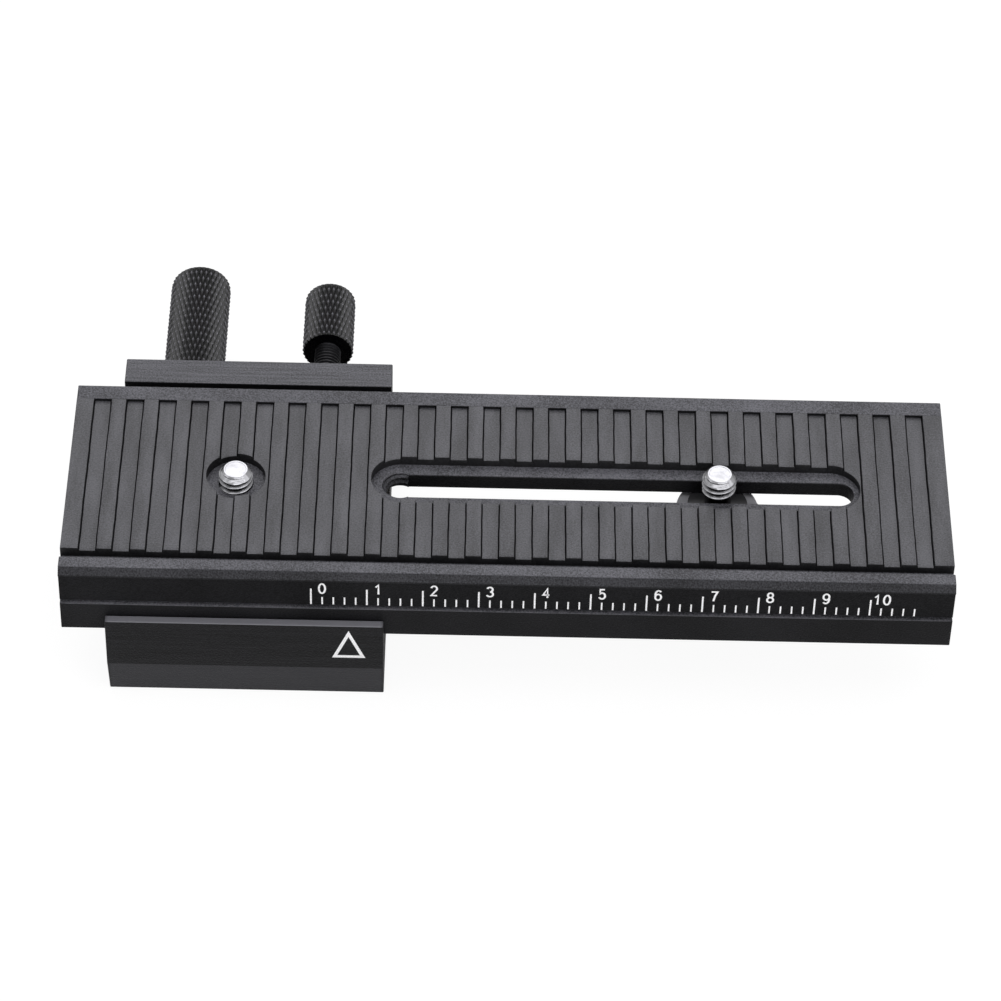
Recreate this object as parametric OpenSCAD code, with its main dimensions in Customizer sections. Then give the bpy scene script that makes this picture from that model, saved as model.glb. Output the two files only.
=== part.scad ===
// Macro focusing rail: a ribbed rail slides in a carriage, driven by a rack and pinion.
// +X runs along the rail to the right, +Y away from the scale, +Z up.
// The origin is the mouth of the tripod thread, in the carriage's underside.

/* [Rail] */
// Length of the rail
rail_l = 160; // [140:1:200]
// Width of the rail, from the flange face to the back edge
rail_w = 48; // [46:0.5:56]
// Height of the rail, from the flange's foot to the lip's top
rail_h = 14.6; // [14:0.1:18]
// Thickness of the rail's side walls
rail_wall = 4; // [3.6:0.1:4.2]
// Thickness of the plate under the grip pad
plate_t = 3.1; // [2.4:0.1:3.6]
// Width of the plain border behind the grip pad
border_w = 3.5; // [2:0.1:5]
// Width of the flat top of the front lip
lip_w = 2.45; // [1.5:0.05:4]
// Chamfer on the front lip
lip_chamfer = 1.25; // [0.6:0.05:2]
// Width of the open groove between the grip pad and the lip
groove_w = 2.1; // [1:0.05:3]
// How far the front hold-down rib reaches inwards from its wall
hold_reach = 2.8; // [2:0.1:4]
// Thickness of the front hold-down rib
hold_t = 2.5; // [1.6:0.1:3]
// Depth of the vee groove in the rail's rear wall
vee_d = 1.8; // [1:0.1:2.2]
// Height of the vee groove's middle above the flange's foot
vee_rise = 3.1; // [2.8:0.1:4.5]
// How far the carriage's end stands in from the rail's left end at rest
rail_rest = 8; // [4:0.5:20]

/* [Grip pad] */
// Thickness of the grip pad
pad_t = 2; // [1.4:0.1:2.6]
// Distance from rib to rib
rib_pitch = 6; // [5:0.25:8]
// Width of each recessed strip
recess_w = 3.2; // [2:0.1:4]
// Depth of each recessed strip
recess_d = 0.6; // [0.3:0.05:1]
// Width of the first rib, at the rail's left end
first_rib_w = 3.23; // [2:0.01:5]

/* [Scale] */
// Thickness of the scale strip
strip_t = 0.8; // [0.5:0.05:1]
// Height of the scale strip
strip_h = 6.35; // [5:0.05:6.6]
// How far the scale's face lies behind the flange's face
strip_sink = 0.4; // [0.1:0.05:0.6]
// Height of the open joint line under the scale strip
joint_line = 0.5; // [0.3:0.05:0.8]

/* [Camera screws] */
// Distance of the left screw from the rail's left end
left_screw_at = 30.4; // [24:0.2:34]
// Distance of the slot screw from the rail's left end
slot_screw_at = 118.3; // [80:0.1:130]
// Distance of the slot's tapped entry hole from the rail's left end
slot_from = 60.3; // [56:0.1:66]
// Distance of the slot's right end from the rail's left end
slot_to = 143; // [136:0.5:150]
// Width of the slot through the plate
slot_w = 5.6; // [5.2:0.1:6]
// How far the screws stand behind the rail's middle
screw_y = 1.3; // [-1:0.1:1.4]
// Width of the slot in the grip pad
pad_slot_w = 11; // [9:0.1:13]
// Distance of the pad slot's left end from the rail's left end
pad_slot_from = 55; // [50:0.5:56]
// Distance of the pad slot's right end from the rail's left end
pad_slot_to = 144.1; // [143.5:0.1:152]
// Radius of the round cut-out in the grip pad
pad_hole_r = 5.4; // [4.4:0.1:7]
// Outer radius of the camera screws' thread
thread_r = 3.175; // [3.1:0.025:3.2]
// Length of the camera screws' threaded end
thread_l = 4.4; // [4.2:0.1:6]
// Radius of the undercut shank
neck_r = 2.4; // [2:0.05:2.5]
// Length of the undercut shank
neck_l = 4.3; // [4:0.1:5]
// How far the left screw hangs below the slot screw
left_drop = 1.3; // [1:0.1:1.5]
// Radius of the screws' heads
head_r = 7.5; // [6.5:0.1:8]
// Thickness of the screws' heads
head_t = 2.6; // [2:0.1:2.8]
// Radius of the washers on the undercut shanks
washer_r = 5.5; // [4:0.1:6]
// Thickness of those washers
washer_t = 0.8; // [0.5:0.05:0.9]
// Outer radius of the folding rings
ring_r = 9; // [8.7:0.1:9.2]
// Radius of the folding rings' wire
wire_r = 0.9; // [0.7:0.05:0.95]

/* [Carriage] */
// Length of the carriage
car_l = 50; // [48:0.5:56]
// Thickness of the floor under the channel
floor_t = 10.5; // [10:0.1:10.8]
// Height of the ledges that the rail runs above
ledge_h = 16; // [15.8:0.1:17]
// Height of the front wall
front_h = 20; // [18:0.1:21]
// Thickness of the front wall
front_t = 1.55; // [1.2:0.05:3]
// Height at which the front bevel starts
bevel_h = 9.1; // [6:0.1:12]
// How far the bevel runs in at the foot
bevel_in = 2.4; // [1:0.1:4]
// Height of the rear block
block_h = 27; // [25:0.1:29]
// Thickness of the rear block
block_t = 6.3; // [5.5:0.1:9]
// Space between the rail and the rear block
gib_space = 5.4; // [5.2:0.1:6.5]
// Thickness of the guide hook's stem
hook_t = 3.5; // [2.5:0.1:4.5]
// Thickness of the guide hook's top flange
hook_top_t = 1.75; // [1.2:0.05:2.2]

/* [Rack and pinion] */
// Tooth module
tooth_m = 0.6; // [0.5:0.05:0.65]
// Number of pinion teeth
pinion_teeth = 12; // [11:1:13]
// Width of the rack's seat, inwards from the rail's rear wall
rack_seat_w = 6.2; // [6:0.1:6.4]
// Width of the rack's teeth
rack_face = 2.8; // [2.2:0.1:3]
// Height of the rack, from its seat to the pitch line
rack_h = 4; // [3.6:0.1:4.4]
// Height of the boss that the rack is screwed to
boss_h = 5.5; // [5:0.1:6]
// Thickness of the rack's screw flange
rack_flange_t = 1.5; // [1:0.1:1.6]
// Distance of the rack's left end from the rail's left end
rack_from = 7; // [5:0.5:8]
// Distance of the rack's right end from the rail's left end
rack_to = 126; // [125:1:134]

/* [Focusing knob] */
// Distance of the focusing shaft from the carriage's left end
focus_in = 11.5; // [10:0.1:12.5]
// Radius of the focusing knob
focus_r = 5.85; // [5:0.05:8]
// Length of the focusing knob
focus_l = 35.3; // [24:0.1:40]
// Radius of the focusing shaft
shaft_r = 2.5; // [2.4:0.05:2.8]
// Radius of the shaft's front journal
journal_r = 2; // [1.6:0.05:2.1]

/* [Lock knob] */
// Distance of the lock screw from the carriage's right end
lock_in = 12.7; // [11.5:0.1:14]
// Radius of the lock knob
lock_r = 4.9; // [4.4:0.1:8]
// Length of the lock knob
lock_l = 14.4; // [12:0.1:20]
// Length of bare thread between the rear block and the lock knob
lock_bare = 11; // [4:0.1:14]
// Radius of the lock screw
lock_thread_r = 2.5; // [2:0.1:2.8]

/* [Hidden] */
$fn = 64;

// Clearances and the overrun of every cut
cut = 1;
run_gap = 0.1;
slip_gap = 0.05;
wall_gap = 0.15;
side_gap = 0.2;
open_gap = 0.3;

// Small sizes of the carriage
bush_wall = 1.2;
front_bush_wall = 1;
web_t = 2.5;
web_side = 6;
web_top_gap = 1;
glide_t = 0.5;
glide_proud = 0.3;
glide_w = 2.6;
glide_edge = 0.4;
lip_edge = 0.2;
hook_end_in = 3.6;
stop_in = 3;
stop_r = 1.5;
stop_reach = 1.5;
stop_skin = 0.5;
tripod_r = 3.175;
tripod_bush_r = 4.7625;
tripod_depth = 9;
block_chamfer = 0.6;

// Heights of the rail over the carriage's foot
rail_z = ledge_h + glide_proud + run_gap;
rail_top = rail_z + rail_h;
plate_top = rail_top - pad_t;
plate_foot = plate_top - plate_t;
strip_top = rail_top - lip_chamfer - lip_edge;
flange_top = strip_top - strip_h - joint_line;
boss_foot = plate_foot - boss_h;

// Places of the rail across its width
rail_half = rail_w / 2;
lip_back = -rail_half + lip_chamfer + lip_w;
pad_front = lip_back + groove_w;
pad_back = rail_half - border_w;
strip_back = -rail_half + strip_sink + strip_t;
inner_half = rail_half - rail_wall;
hold_y = -inner_half + hold_reach;

// Places of the rail along its length
rail_x = -car_l / 2 - rail_rest;
recesses = floor((rail_l - first_rib_w) / rib_pitch);

// Carriage
front_face = -rail_half - wall_gap - front_t;
block_front = rail_half + gib_space;
block_back = block_front + block_t;
hook_back = hold_y + side_gap + hook_t;
hook_under = rail_z + hold_t + slip_gap;
hook_half = car_l / 2 - hook_end_in;
rack_y = inner_half - rack_seat_w;
web_y = rack_y - open_gap - web_t;
rear_ledge = inner_half - run_gap;

// Rack and pinion, with straight-sided rack teeth and involute pinion teeth
focus_x = car_l / 2 - focus_in;
pressure = 20;
addendum_share = 0.7;
dedendum_share = 1.25;
backlash_share = 0.1;
flank_steps = 6;
pitch_r = tooth_m * pinion_teeth / 2;
tooth_pitch = PI * tooth_m;
pinion_tip_r = pitch_r + tooth_m;
pinion_root_r = pitch_r - tooth_m * 1.2;
base_r = pitch_r * cos(pressure);
tooth_w = tooth_pitch / 2 - tooth_pitch * backlash_share / 2;
rack_pitch_z = boss_foot - rack_h;
focus_z = rack_pitch_z - pitch_r;
rack_back = inner_half - side_gap;
rack_screw_r = 1;
rack_screw_grip = 4;
rack_head_r = 1.5;
rack_head_t = 1.2;
rack_screw_count = 4;
rack_screw_in = 5;
pinion_overhang = 0.1;
hub_r = 3.4;
pin_r = 0.75;
pinion_y = rack_y - pinion_overhang;
pinion_l = rack_face + 2 * pinion_overhang;
hub_end = inner_half - 2 * side_gap;
hub_l = hub_end - pinion_y - pinion_l;
clip_t = 0.7;
clip_r = 3.3;
clip_groove_r = 2.1;
clip_y = hub_end + side_gap;
pocket_back = clip_y + clip_t + wall_gap;
pocket_depth = 2.2;
bush_l = 6;
shaft_grip = 13.75;
focus_washer_t = 0.5;
focus_washer_r = 4.5;
focus_y = block_back + focus_washer_t + slip_gap;
grub_r = 1.5;
grub_l = 3;
grub_at = 6;
knob_chamfer = 0.9;

// Clamp gib and lock screw
lock_x = car_l / 2 - lock_in;
vee_z = rail_z + vee_rise;
gib_play = 0.15;
gib_travel = 0.6;
gib_rise = 3.2;
gib_end_in = 0.5;
gib_front = rail_half + gib_play + side_gap;
gib_back = block_front - gib_travel - side_gap;
gib_floor = ledge_h - run_gap;
guide_r = 1.5;
guide_in = 5;
guide_x = car_l / 2 - guide_in;
guide_skin = 0.85;
guide_front = gib_front + guide_skin + gib_travel + side_gap;
guide_end_in = 1.7;
tip_r = 1.7;
tip_l = 1.85;
tip_neck_r = 1.2;
retainer_t = 0.45;
retainer_w = 9;
retainer_h = 5.6;
rivet_r = 0.7;
rivet_l = 1.5;
rivet_x = 3.4;
lock_y = block_back + lock_bare;
lock_grip = 10.3;
lock_grub_r = 1.25;
lock_grub_l = 2;
lock_grub_at = 4;

// Camera screws
top_chamfer = 0.8;
relief = 0.175;
slot_head_top = plate_foot - 2 * slip_gap - washer_t;
ear_t = 1.7;
ear_w = 4;
ear_out = 6.7;
ear_drop = 2;
ring_play = 0.1;
left_x = rail_x + left_screw_at;
slot_x = rail_x + slot_screw_at;

// Cube between two corners
module block(from, to) {
  translate(from) cube(to - from);
}

// Cylinder along +Y from one place to another
module bar_y(r, x, z, from, to) {
  translate([x, from, z]) rotate([-90, 0, 0]) cylinder(r = r, h = to - from);
}

// Section in Y and Z, carried along X from one place to another
module along_x(from, to) {
  translate([from, 0, 0]) rotate([90, 0, 90]) linear_extrude(height = to - from) children();
}

// Flat slot with round ends, standing on z
module slot_cut(from, to, width, z, height) {
  r = width / 2;
  translate([from + r, screw_y, z]) cylinder(r = r, h = height);
  translate([to - r, screw_y, z]) cylinder(r = r, h = height);
  block([from + r, screw_y - r, z], [to - r, screw_y + r, z + height]);
}

// Outline of the carriage without its guide hook
module carriage_section() {
  polygon([
    [front_face + bevel_in, 0],
    [front_face, bevel_h],
    [front_face, front_h],
    [-rail_half - wall_gap, front_h],
    [-rail_half - wall_gap, ledge_h],
    [hook_back, ledge_h],
    [hook_back, floor_t],
    [rear_ledge, floor_t],
    [rear_ledge, ledge_h],
    [rail_half + run_gap, ledge_h],
    [rail_half + run_gap, gib_floor],
    [block_front, gib_floor],
    [block_front, block_h],
    [block_back, block_h],
    [block_back, block_chamfer],
    [block_back - block_chamfer, 0]
  ]);
}

// Outline of the hook that holds the rail's front rib down
module hook_section() {
  hook_top = hook_under + hook_top_t;
  polygon([
    [hold_y + side_gap, ledge_h - glide_t],
    [hold_y + side_gap, hook_under],
    [-inner_half + side_gap, hook_under],
    [-inner_half + side_gap, hook_top],
    [hook_back, hook_top],
    [hook_back, ledge_h - glide_t]
  ]);
}

// The two glide strips, or with an overrun their seats
module glide_pair(overrun) {
  foot = ledge_h - glide_t + glide_proud;
  for (y = [-rail_half + glide_edge, rail_half - glide_edge - glide_w])
    block([-car_l / 2 - overrun, y, foot], [car_l / 2 + overrun, y + glide_w, foot + glide_t]);
}

module carriage_body() {
  color([0.17, 0.17, 0.18]) difference() {
    union() {
      along_x(-car_l / 2, car_l / 2) carriage_section();
      along_x(-hook_half, hook_half) hook_section();
      block(
        [-focus_x - web_side, web_y, floor_t - cut],
        [-focus_x + web_side, web_y + web_t, focus_z + journal_r + front_bush_wall + web_top_gap]
      );
    }
    glide_pair(cut);
    block(
      [-focus_x - web_side, web_y + web_t, floor_t - pocket_depth],
      [-focus_x + web_side, pocket_back, ledge_h + cut]
    );
    bar_y(journal_r + front_bush_wall, -focus_x, focus_z, web_y - cut, web_y + web_t + cut);
    bar_y(shaft_r + side_gap, -focus_x, focus_z, pocket_back - cut, block_back - bush_l);
    bar_y(shaft_r + bush_wall, -focus_x, focus_z, block_back - bush_l, block_back + cut);
    bar_y(lock_thread_r + slip_gap, lock_x, vee_z, block_front - cut, block_back + cut);
    for (x = [-guide_x, guide_x])
      bar_y(guide_r, x, vee_z, block_front - cut, block_back - guide_end_in);
    translate([0, 0, -cut]) cylinder(r = tripod_bush_r, h = tripod_depth + cut);
  }
}

module tripod_bush() {
  color([0.7, 0.7, 0.7]) difference() {
    cylinder(r = tripod_bush_r, h = tripod_depth);
    translate([0, 0, -cut]) cylinder(r = tripod_r, h = tripod_depth + 2 * cut);
  }
}

module front_bush() {
  color([0.75, 0.6, 0.3]) difference() {
    bar_y(journal_r + front_bush_wall, -focus_x, focus_z, web_y, web_y + web_t);
    bar_y(journal_r + slip_gap, -focus_x, focus_z, web_y - cut, web_y + web_t + cut);
  }
}

module rear_bush() {
  color([0.75, 0.6, 0.3]) difference() {
    bar_y(shaft_r + bush_wall, -focus_x, focus_z, block_back - bush_l, block_back);
    bar_y(shaft_r + slip_gap, -focus_x, focus_z, block_back - bush_l - cut, block_back + cut);
  }
}

module focus_washer() {
  color([0.1, 0.1, 0.1]) difference() {
    bar_y(focus_washer_r, -focus_x, focus_z, block_back, block_back + focus_washer_t);
    bar_y(shaft_r + slip_gap, -focus_x, focus_z, block_back - cut, block_back + focus_washer_t + cut);
  }
}

module glide_strips() {
  color([0.9, 0.9, 0.86]) glide_pair(0);
}

module gib_pins() {
  color([0.7, 0.7, 0.72]) for (x = [-guide_x, guide_x])
    bar_y(guide_r, x, vee_z, guide_front, block_back - guide_end_in);
}

// Outline of the rail, a channel that is open below
module rail_section() {
  polygon([
    [lip_back, rail_top],
    [-rail_half + lip_chamfer, rail_top],
    [-rail_half, rail_top - lip_chamfer],
    [-rail_half, strip_top],
    [strip_back, strip_top],
    [strip_back, flange_top],
    [-rail_half, flange_top],
    [-rail_half, rail_z],
    [hold_y, rail_z],
    [hold_y, rail_z + hold_t],
    [-inner_half, rail_z + hold_t],
    [-inner_half, plate_foot],
    [rack_y, plate_foot],
    [rack_y, boss_foot],
    [inner_half, boss_foot],
    [inner_half, rail_z],
    [rail_half, rail_z],
    [rail_half, vee_z - vee_d],
    [rail_half - vee_d, vee_z],
    [rail_half, vee_z + vee_d],
    [rail_half, rail_top],
    [pad_back, rail_top],
    [pad_back, plate_top],
    [lip_back, plate_top]
  ]);
}

// Places of the rack screws along the rail
rack_screw_step = (rack_to - rack_from - 2 * rack_screw_in) / (rack_screw_count - 1);
function rack_screw_x(i) = rail_x + rack_from + rack_screw_in + i * rack_screw_step;

module rail_profile() {
  deep = plate_t + 2 * cut;
  color([0.2, 0.2, 0.21]) difference() {
    along_x(rail_x, rail_x + rail_l) rail_section();
    slot_cut(rail_x + slot_from - slot_w / 2, rail_x + slot_to, slot_w, plate_foot - cut, deep);
    for (x = [left_x, rail_x + slot_from])
      translate([x, screw_y, plate_foot - cut]) cylinder(r = thread_r, h = deep);
    for (i = [0 : rack_screw_count - 1])
      translate([rack_screw_x(i), (rack_y + rack_face + rack_back) / 2, boss_foot - cut])
        cylinder(r = rack_screw_r, h = rack_screw_grip + cut);
    for (x = [rail_x + stop_in, rail_x + rail_l - stop_in])
      translate([x, hook_back - hook_t / 2, plate_foot - cut])
        cylinder(r = stop_r, h = plate_t - stop_skin + cut);
  }
}

module grip_pad() {
  color([0.22, 0.22, 0.23]) difference() {
    block([rail_x, pad_front, plate_top], [rail_x + rail_l, pad_back, rail_top]);
    for (i = [0 : recesses - 1]) {
      x = rail_x + first_rib_w + i * rib_pitch;
      block([x, pad_front - cut, rail_top - recess_d], [x + recess_w, pad_back + cut, rail_top + cut]);
    }
    slot_cut(rail_x + pad_slot_from, rail_x + pad_slot_to, pad_slot_w, plate_top - cut, pad_t + 2 * cut);
    translate([left_x, screw_y, plate_top - cut]) cylinder(r = pad_hole_r, h = pad_t + 2 * cut);
  }
}

module scale_strip() {
  color([0.1, 0.1, 0.11]) block(
    [rail_x, strip_back - strip_t, strip_top - strip_h],
    [rail_x + rail_l, strip_back, strip_top]
  );
}

// Outline of the rack's teeth in X and Z, one of them over the pinion at rest
module rack_teeth() {
  tip_z = rack_pitch_z - tooth_m * addendum_share;
  root_z = rack_pitch_z + tooth_m * dedendum_share;
  tip_half = tooth_w / 2 - (rack_pitch_z - tip_z) * tan(pressure);
  root_half = tooth_w / 2 + (root_z - rack_pitch_z) * tan(pressure);
  from = rail_x + rack_from;
  to = rail_x + rack_to;
  first = ceil((from + root_half + focus_x) / tooth_pitch);
  last = floor((to - root_half + focus_x) / tooth_pitch);
  tooth = [[-root_half, root_z], [-tip_half, tip_z], [tip_half, tip_z], [root_half, root_z]];
  polygon(concat(
    [[from, boss_foot], [from, root_z]],
    [for (i = [first : last]) for (p = tooth) [-focus_x + i * tooth_pitch + p[0], p[1]]],
    [[to, root_z], [to, boss_foot]]
  ));
}

module rack() {
  color([0.75, 0.6, 0.3]) difference() {
    union() {
      translate([0, rack_y + rack_face, 0]) rotate([90, 0, 0])
        linear_extrude(height = rack_face) rack_teeth();
      block(
        [rail_x + rack_from, rack_y + rack_face, boss_foot - rack_flange_t],
        [rail_x + rack_to, rack_back, boss_foot]
      );
    }
    for (i = [0 : rack_screw_count - 1])
      translate([rack_screw_x(i), (rack_y + rack_face + rack_back) / 2, boss_foot - rack_flange_t - cut])
        cylinder(r = rack_screw_r + run_gap, h = rack_flange_t + 2 * cut);
  }
}

module rack_screws() {
  color([0.7, 0.7, 0.72]) for (i = [0 : rack_screw_count - 1])
    translate([rack_screw_x(i), (rack_y + rack_face + rack_back) / 2, boss_foot - rack_flange_t]) {
      cylinder(r = rack_screw_r, h = rack_flange_t + rack_screw_grip);
      translate([0, 0, -rack_head_t]) cylinder(r = rack_head_r, h = rack_head_t);
    }
}

module stop_screws() {
  foot = hook_under + hook_top_t - stop_reach;
  color([0.7, 0.7, 0.72]) for (x = [rail_x + stop_in, rail_x + rail_l - stop_in])
    translate([x, hook_back - hook_t / 2, foot])
      cylinder(r = stop_r, h = plate_top - stop_skin - foot);
}

module focus_shaft() {
  color([0.7, 0.7, 0.72]) difference() {
    union() {
      bar_y(journal_r, -focus_x, focus_z, web_y, hub_end);
      bar_y(shaft_r, -focus_x, focus_z, hub_end, clip_y);
      bar_y(clip_groove_r, -focus_x, focus_z, clip_y, clip_y + clip_t);
      bar_y(shaft_r, -focus_x, focus_z, clip_y + clip_t, focus_y + shaft_grip);
    }
    translate([-focus_x - hub_r, hub_end - hub_l / 2, focus_z]) rotate([0, 90, 0])
      cylinder(r = pin_r, h = 2 * hub_r);
  }
}

// Half angle of a pinion tooth at radius r, in degrees, by the involute of the base circle
function involute(r) = let (a = acos(min(1, base_r / r))) tan(a) * 180 / PI - a;
function tooth_half(r) = tooth_w / 2 / pitch_r * 180 / PI + involute(pitch_r) - involute(max(r, base_r));

// Outline of the pinion, with a gap between two teeth straight up
module pinion_outline() {
  radii = concat(
    [pinion_root_r],
    [for (i = [0 : flank_steps]) base_r + (pinion_tip_r - base_r) * i / flank_steps]
  );
  count = len(radii);
  polygon([
    for (t = [0 : pinion_teeth - 1])
      for (i = [0 : 2 * count - 1])
        let (
          r = radii[i < count ? i : 2 * count - 1 - i],
          side = i < count ? -1 : 1,
          a = 90 + (t + 0.5) * 360 / pinion_teeth + side * tooth_half(r)
        )
        [r * cos(a), r * sin(a)]
  ]);
}

module pinion() {
  color([0.75, 0.6, 0.3]) difference() {
    union() {
      translate([-focus_x, pinion_y + pinion_l, focus_z]) rotate([90, 0, 0])
        linear_extrude(height = pinion_l) pinion_outline();
      bar_y(hub_r, -focus_x, focus_z, pinion_y + pinion_l, hub_end);
    }
    bar_y(journal_r, -focus_x, focus_z, pinion_y - cut, hub_end + cut);
    translate([-focus_x - hub_r - cut, hub_end - hub_l / 2, focus_z]) rotate([0, 90, 0])
      cylinder(r = pin_r, h = 2 * (hub_r + cut));
  }
}

module pinion_pin() {
  color([0.7, 0.7, 0.72]) translate([-focus_x - hub_r, hub_end - hub_l / 2, focus_z]) rotate([0, 90, 0])
    cylinder(r = pin_r, h = 2 * hub_r);
}

module shaft_clip() {
  color([0.6, 0.6, 0.62]) difference() {
    bar_y(clip_r, -focus_x, focus_z, clip_y, clip_y + clip_t);
    bar_y(clip_groove_r, -focus_x, focus_z, clip_y - cut, clip_y + clip_t + cut);
    block(
      [-focus_x - clip_groove_r / 2, clip_y - cut, focus_z - clip_r - cut],
      [-focus_x + clip_groove_r / 2, clip_y + clip_t + cut, focus_z]
    );
  }
}

// Round knob along +Y with chamfered ends and a blind bore at its near end
module knob(r, length, x, y, z, bore_r, grip, screw_r, screw_at) {
  difference() {
    translate([x, y, z]) rotate([-90, 0, 0]) rotate_extrude() polygon([
      [0, 0],
      [r - knob_chamfer, 0],
      [r, knob_chamfer],
      [r, length - knob_chamfer],
      [r - knob_chamfer, length],
      [0, length]
    ]);
    bar_y(bore_r, x, z, y - cut, y + grip);
    translate([x, y + screw_at, z - r - cut]) cylinder(r = screw_r, h = r + cut);
  }
}

module focus_knob() {
  color([0.12, 0.12, 0.13])
    knob(focus_r, focus_l, -focus_x, focus_y, focus_z, shaft_r, shaft_grip, grub_r, grub_at);
}

// Grub screw under a knob, its tip on the shaft
module grub(r, length, x, y, z, seat_r) {
  difference() {
    translate([x, y, z - seat_r - length]) cylinder(r = r, h = length + seat_r / 2);
    bar_y(seat_r, x, z, y - r - cut, y + r + cut);
  }
}

module focus_grub() {
  color([0.3, 0.3, 0.32]) grub(grub_r, grub_l, -focus_x, focus_y + grub_at, focus_z, shaft_r);
}

module clamp_gib() {
  nose = vee_d + side_gap;
  tip_y = gib_back - retainer_t - tip_l - 2 * slip_gap;
  foot = vee_z - gib_rise;
  top = vee_z + gib_rise;
  color([0.2, 0.2, 0.21]) difference() {
    along_x(-car_l / 2 + gib_end_in, car_l / 2 - gib_end_in) polygon([
      [gib_front, foot],
      [gib_front, vee_z - nose],
      [gib_front - nose, vee_z],
      [gib_front, vee_z + nose],
      [gib_front, top],
      [gib_back, top],
      [gib_back, foot]
    ]);
    for (x = [-guide_x, guide_x])
      bar_y(guide_r + slip_gap, x, vee_z, gib_front + guide_skin, gib_back + cut);
    bar_y(tip_r + slip_gap, lock_x, vee_z, tip_y, gib_back + cut);
    block(
      [lock_x - retainer_w / 2, gib_back - retainer_t - slip_gap, vee_z - retainer_h / 2],
      [lock_x + retainer_w / 2, gib_back + cut, vee_z + retainer_h / 2]
    );
    for (x = [lock_x - rivet_x, lock_x + rivet_x])
      bar_y(rivet_r, x, vee_z, gib_back - slip_gap - retainer_t - rivet_l, gib_back + cut);
  }
}

module gib_retainer() {
  color([0.7, 0.7, 0.72]) difference() {
    block(
      [lock_x - retainer_w / 2, gib_back - retainer_t - slip_gap, vee_z - retainer_h / 2],
      [lock_x + retainer_w / 2, gib_back - slip_gap, vee_z + retainer_h / 2]
    );
    bar_y(tip_neck_r + run_gap, lock_x, vee_z, gib_back - retainer_t - cut, gib_back + cut);
    block(
      [lock_x - tip_neck_r - run_gap, gib_back - retainer_t - cut, vee_z - retainer_h],
      [lock_x + tip_neck_r + run_gap, gib_back + cut, vee_z]
    );
    for (x = [lock_x - rivet_x, lock_x + rivet_x])
      bar_y(rivet_r, x, vee_z, gib_back - retainer_t - cut, gib_back + cut);
  }
}

module gib_rivets() {
  color([0.7, 0.7, 0.72]) for (x = [lock_x - rivet_x, lock_x + rivet_x])
    bar_y(rivet_r, x, vee_z, gib_back - slip_gap - retainer_t - rivet_l, gib_back - slip_gap);
}

module lock_screw() {
  neck_y = gib_back - slip_gap - retainer_t - slip_gap;
  color([0.15, 0.15, 0.16]) union() {
    bar_y(tip_r, lock_x, vee_z, neck_y - tip_l + slip_gap, neck_y);
    bar_y(tip_neck_r, lock_x, vee_z, neck_y, gib_back + slip_gap);
    bar_y(lock_thread_r, lock_x, vee_z, gib_back + slip_gap, lock_y + lock_grip);
  }
}

module lock_knob() {
  color([0.12, 0.12, 0.13])
    knob(lock_r, lock_l, lock_x, lock_y, vee_z, lock_thread_r, lock_grip, lock_grub_r, lock_grub_at);
}

module lock_grub() {
  color([0.3, 0.3, 0.32])
    grub(lock_grub_r, lock_grub_l, lock_x, lock_y + lock_grub_at, vee_z, lock_thread_r);
}

// Threaded end and undercut shank of a camera screw, on top of its head
module camera_stem(x, head_top) {
  foot = head_top + neck_l;
  free = rail_top + run_gap;
  top = foot + thread_l;
  color([0.85, 0.85, 0.86]) translate([x, screw_y, 0]) union() {
    translate([0, 0, head_top - head_t / 2]) cylinder(r = neck_r, h = foot - head_top + head_t / 2);
    translate([0, 0, foot]) cylinder(r = thread_r - relief, h = free - foot);
    translate([0, 0, free]) cylinder(r = thread_r, h = top - top_chamfer - free);
    translate([0, 0, top - top_chamfer])
      cylinder(r1 = thread_r, r2 = thread_r - top_chamfer, h = top_chamfer);
  }
}

// Head of a camera screw, a disc with two ears that carry the folding ring
module camera_head(x, top) {
  foot = top - head_t;
  color([0.15, 0.15, 0.16]) translate([x, screw_y, 0]) difference() {
    union() {
      translate([0, 0, foot]) cylinder(r = head_r, h = head_t);
      for (y = [-ear_out, ear_out - ear_t])
        block([-ear_w / 2, y, foot - ear_drop], [ear_w / 2, y + ear_t, foot + cut / 2]);
    }
    translate([0, 0, top - head_t / 2]) cylinder(r = neck_r, h = head_t);
    bar_y(wire_r + slip_gap, 0, foot - wire_r - ring_play, -ear_out - cut, -ear_out + ear_t + cut);
    bar_y(wire_r + slip_gap, 0, foot - wire_r - ring_play, ear_out - ear_t - cut, ear_out + cut);
  }
}

module camera_washer(x, foot) {
  color([0.08, 0.08, 0.08]) translate([x, screw_y, foot]) difference() {
    cylinder(r = washer_r, h = washer_t);
    translate([0, 0, -cut]) cylinder(r = neck_r + run_gap, h = washer_t + 2 * cut);
  }
}

// Half-round wire ring, folded flat under its head towards +X
module camera_ring(x, head_top) {
  bend_r = ring_r - wire_r;
  pin_from = ear_out - ear_t - ring_play;
  color([0.15, 0.15, 0.16]) translate([x, screw_y, head_top - head_t - wire_r - ring_play]) union() {
    rotate([0, 0, -90]) rotate_extrude(angle = 180) translate([bend_r, 0]) circle(r = wire_r);
    for (y = [-bend_r, bend_r])
      translate([0, y, 0]) sphere(r = wire_r);
    bar_y(wire_r, 0, 0, -bend_r, -pin_from);
    bar_y(wire_r, 0, 0, pin_from, bend_r);
  }
}

left_head_top = slot_head_top - left_drop;

module left_stem() {
  camera_stem(left_x, left_head_top);
}

module left_head() {
  camera_head(left_x, left_head_top);
}

module left_washer() {
  camera_washer(left_x, left_head_top);
}

module left_ring() {
  camera_ring(left_x, left_head_top);
}

module slot_washer() {
  camera_washer(slot_x, slot_head_top + slip_gap);
}

module slot_stem() {
  camera_stem(slot_x, slot_head_top);
}

module slot_head() {
  camera_head(slot_x, slot_head_top);
}

module slot_ring() {
  camera_ring(slot_x, slot_head_top);
}

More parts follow.
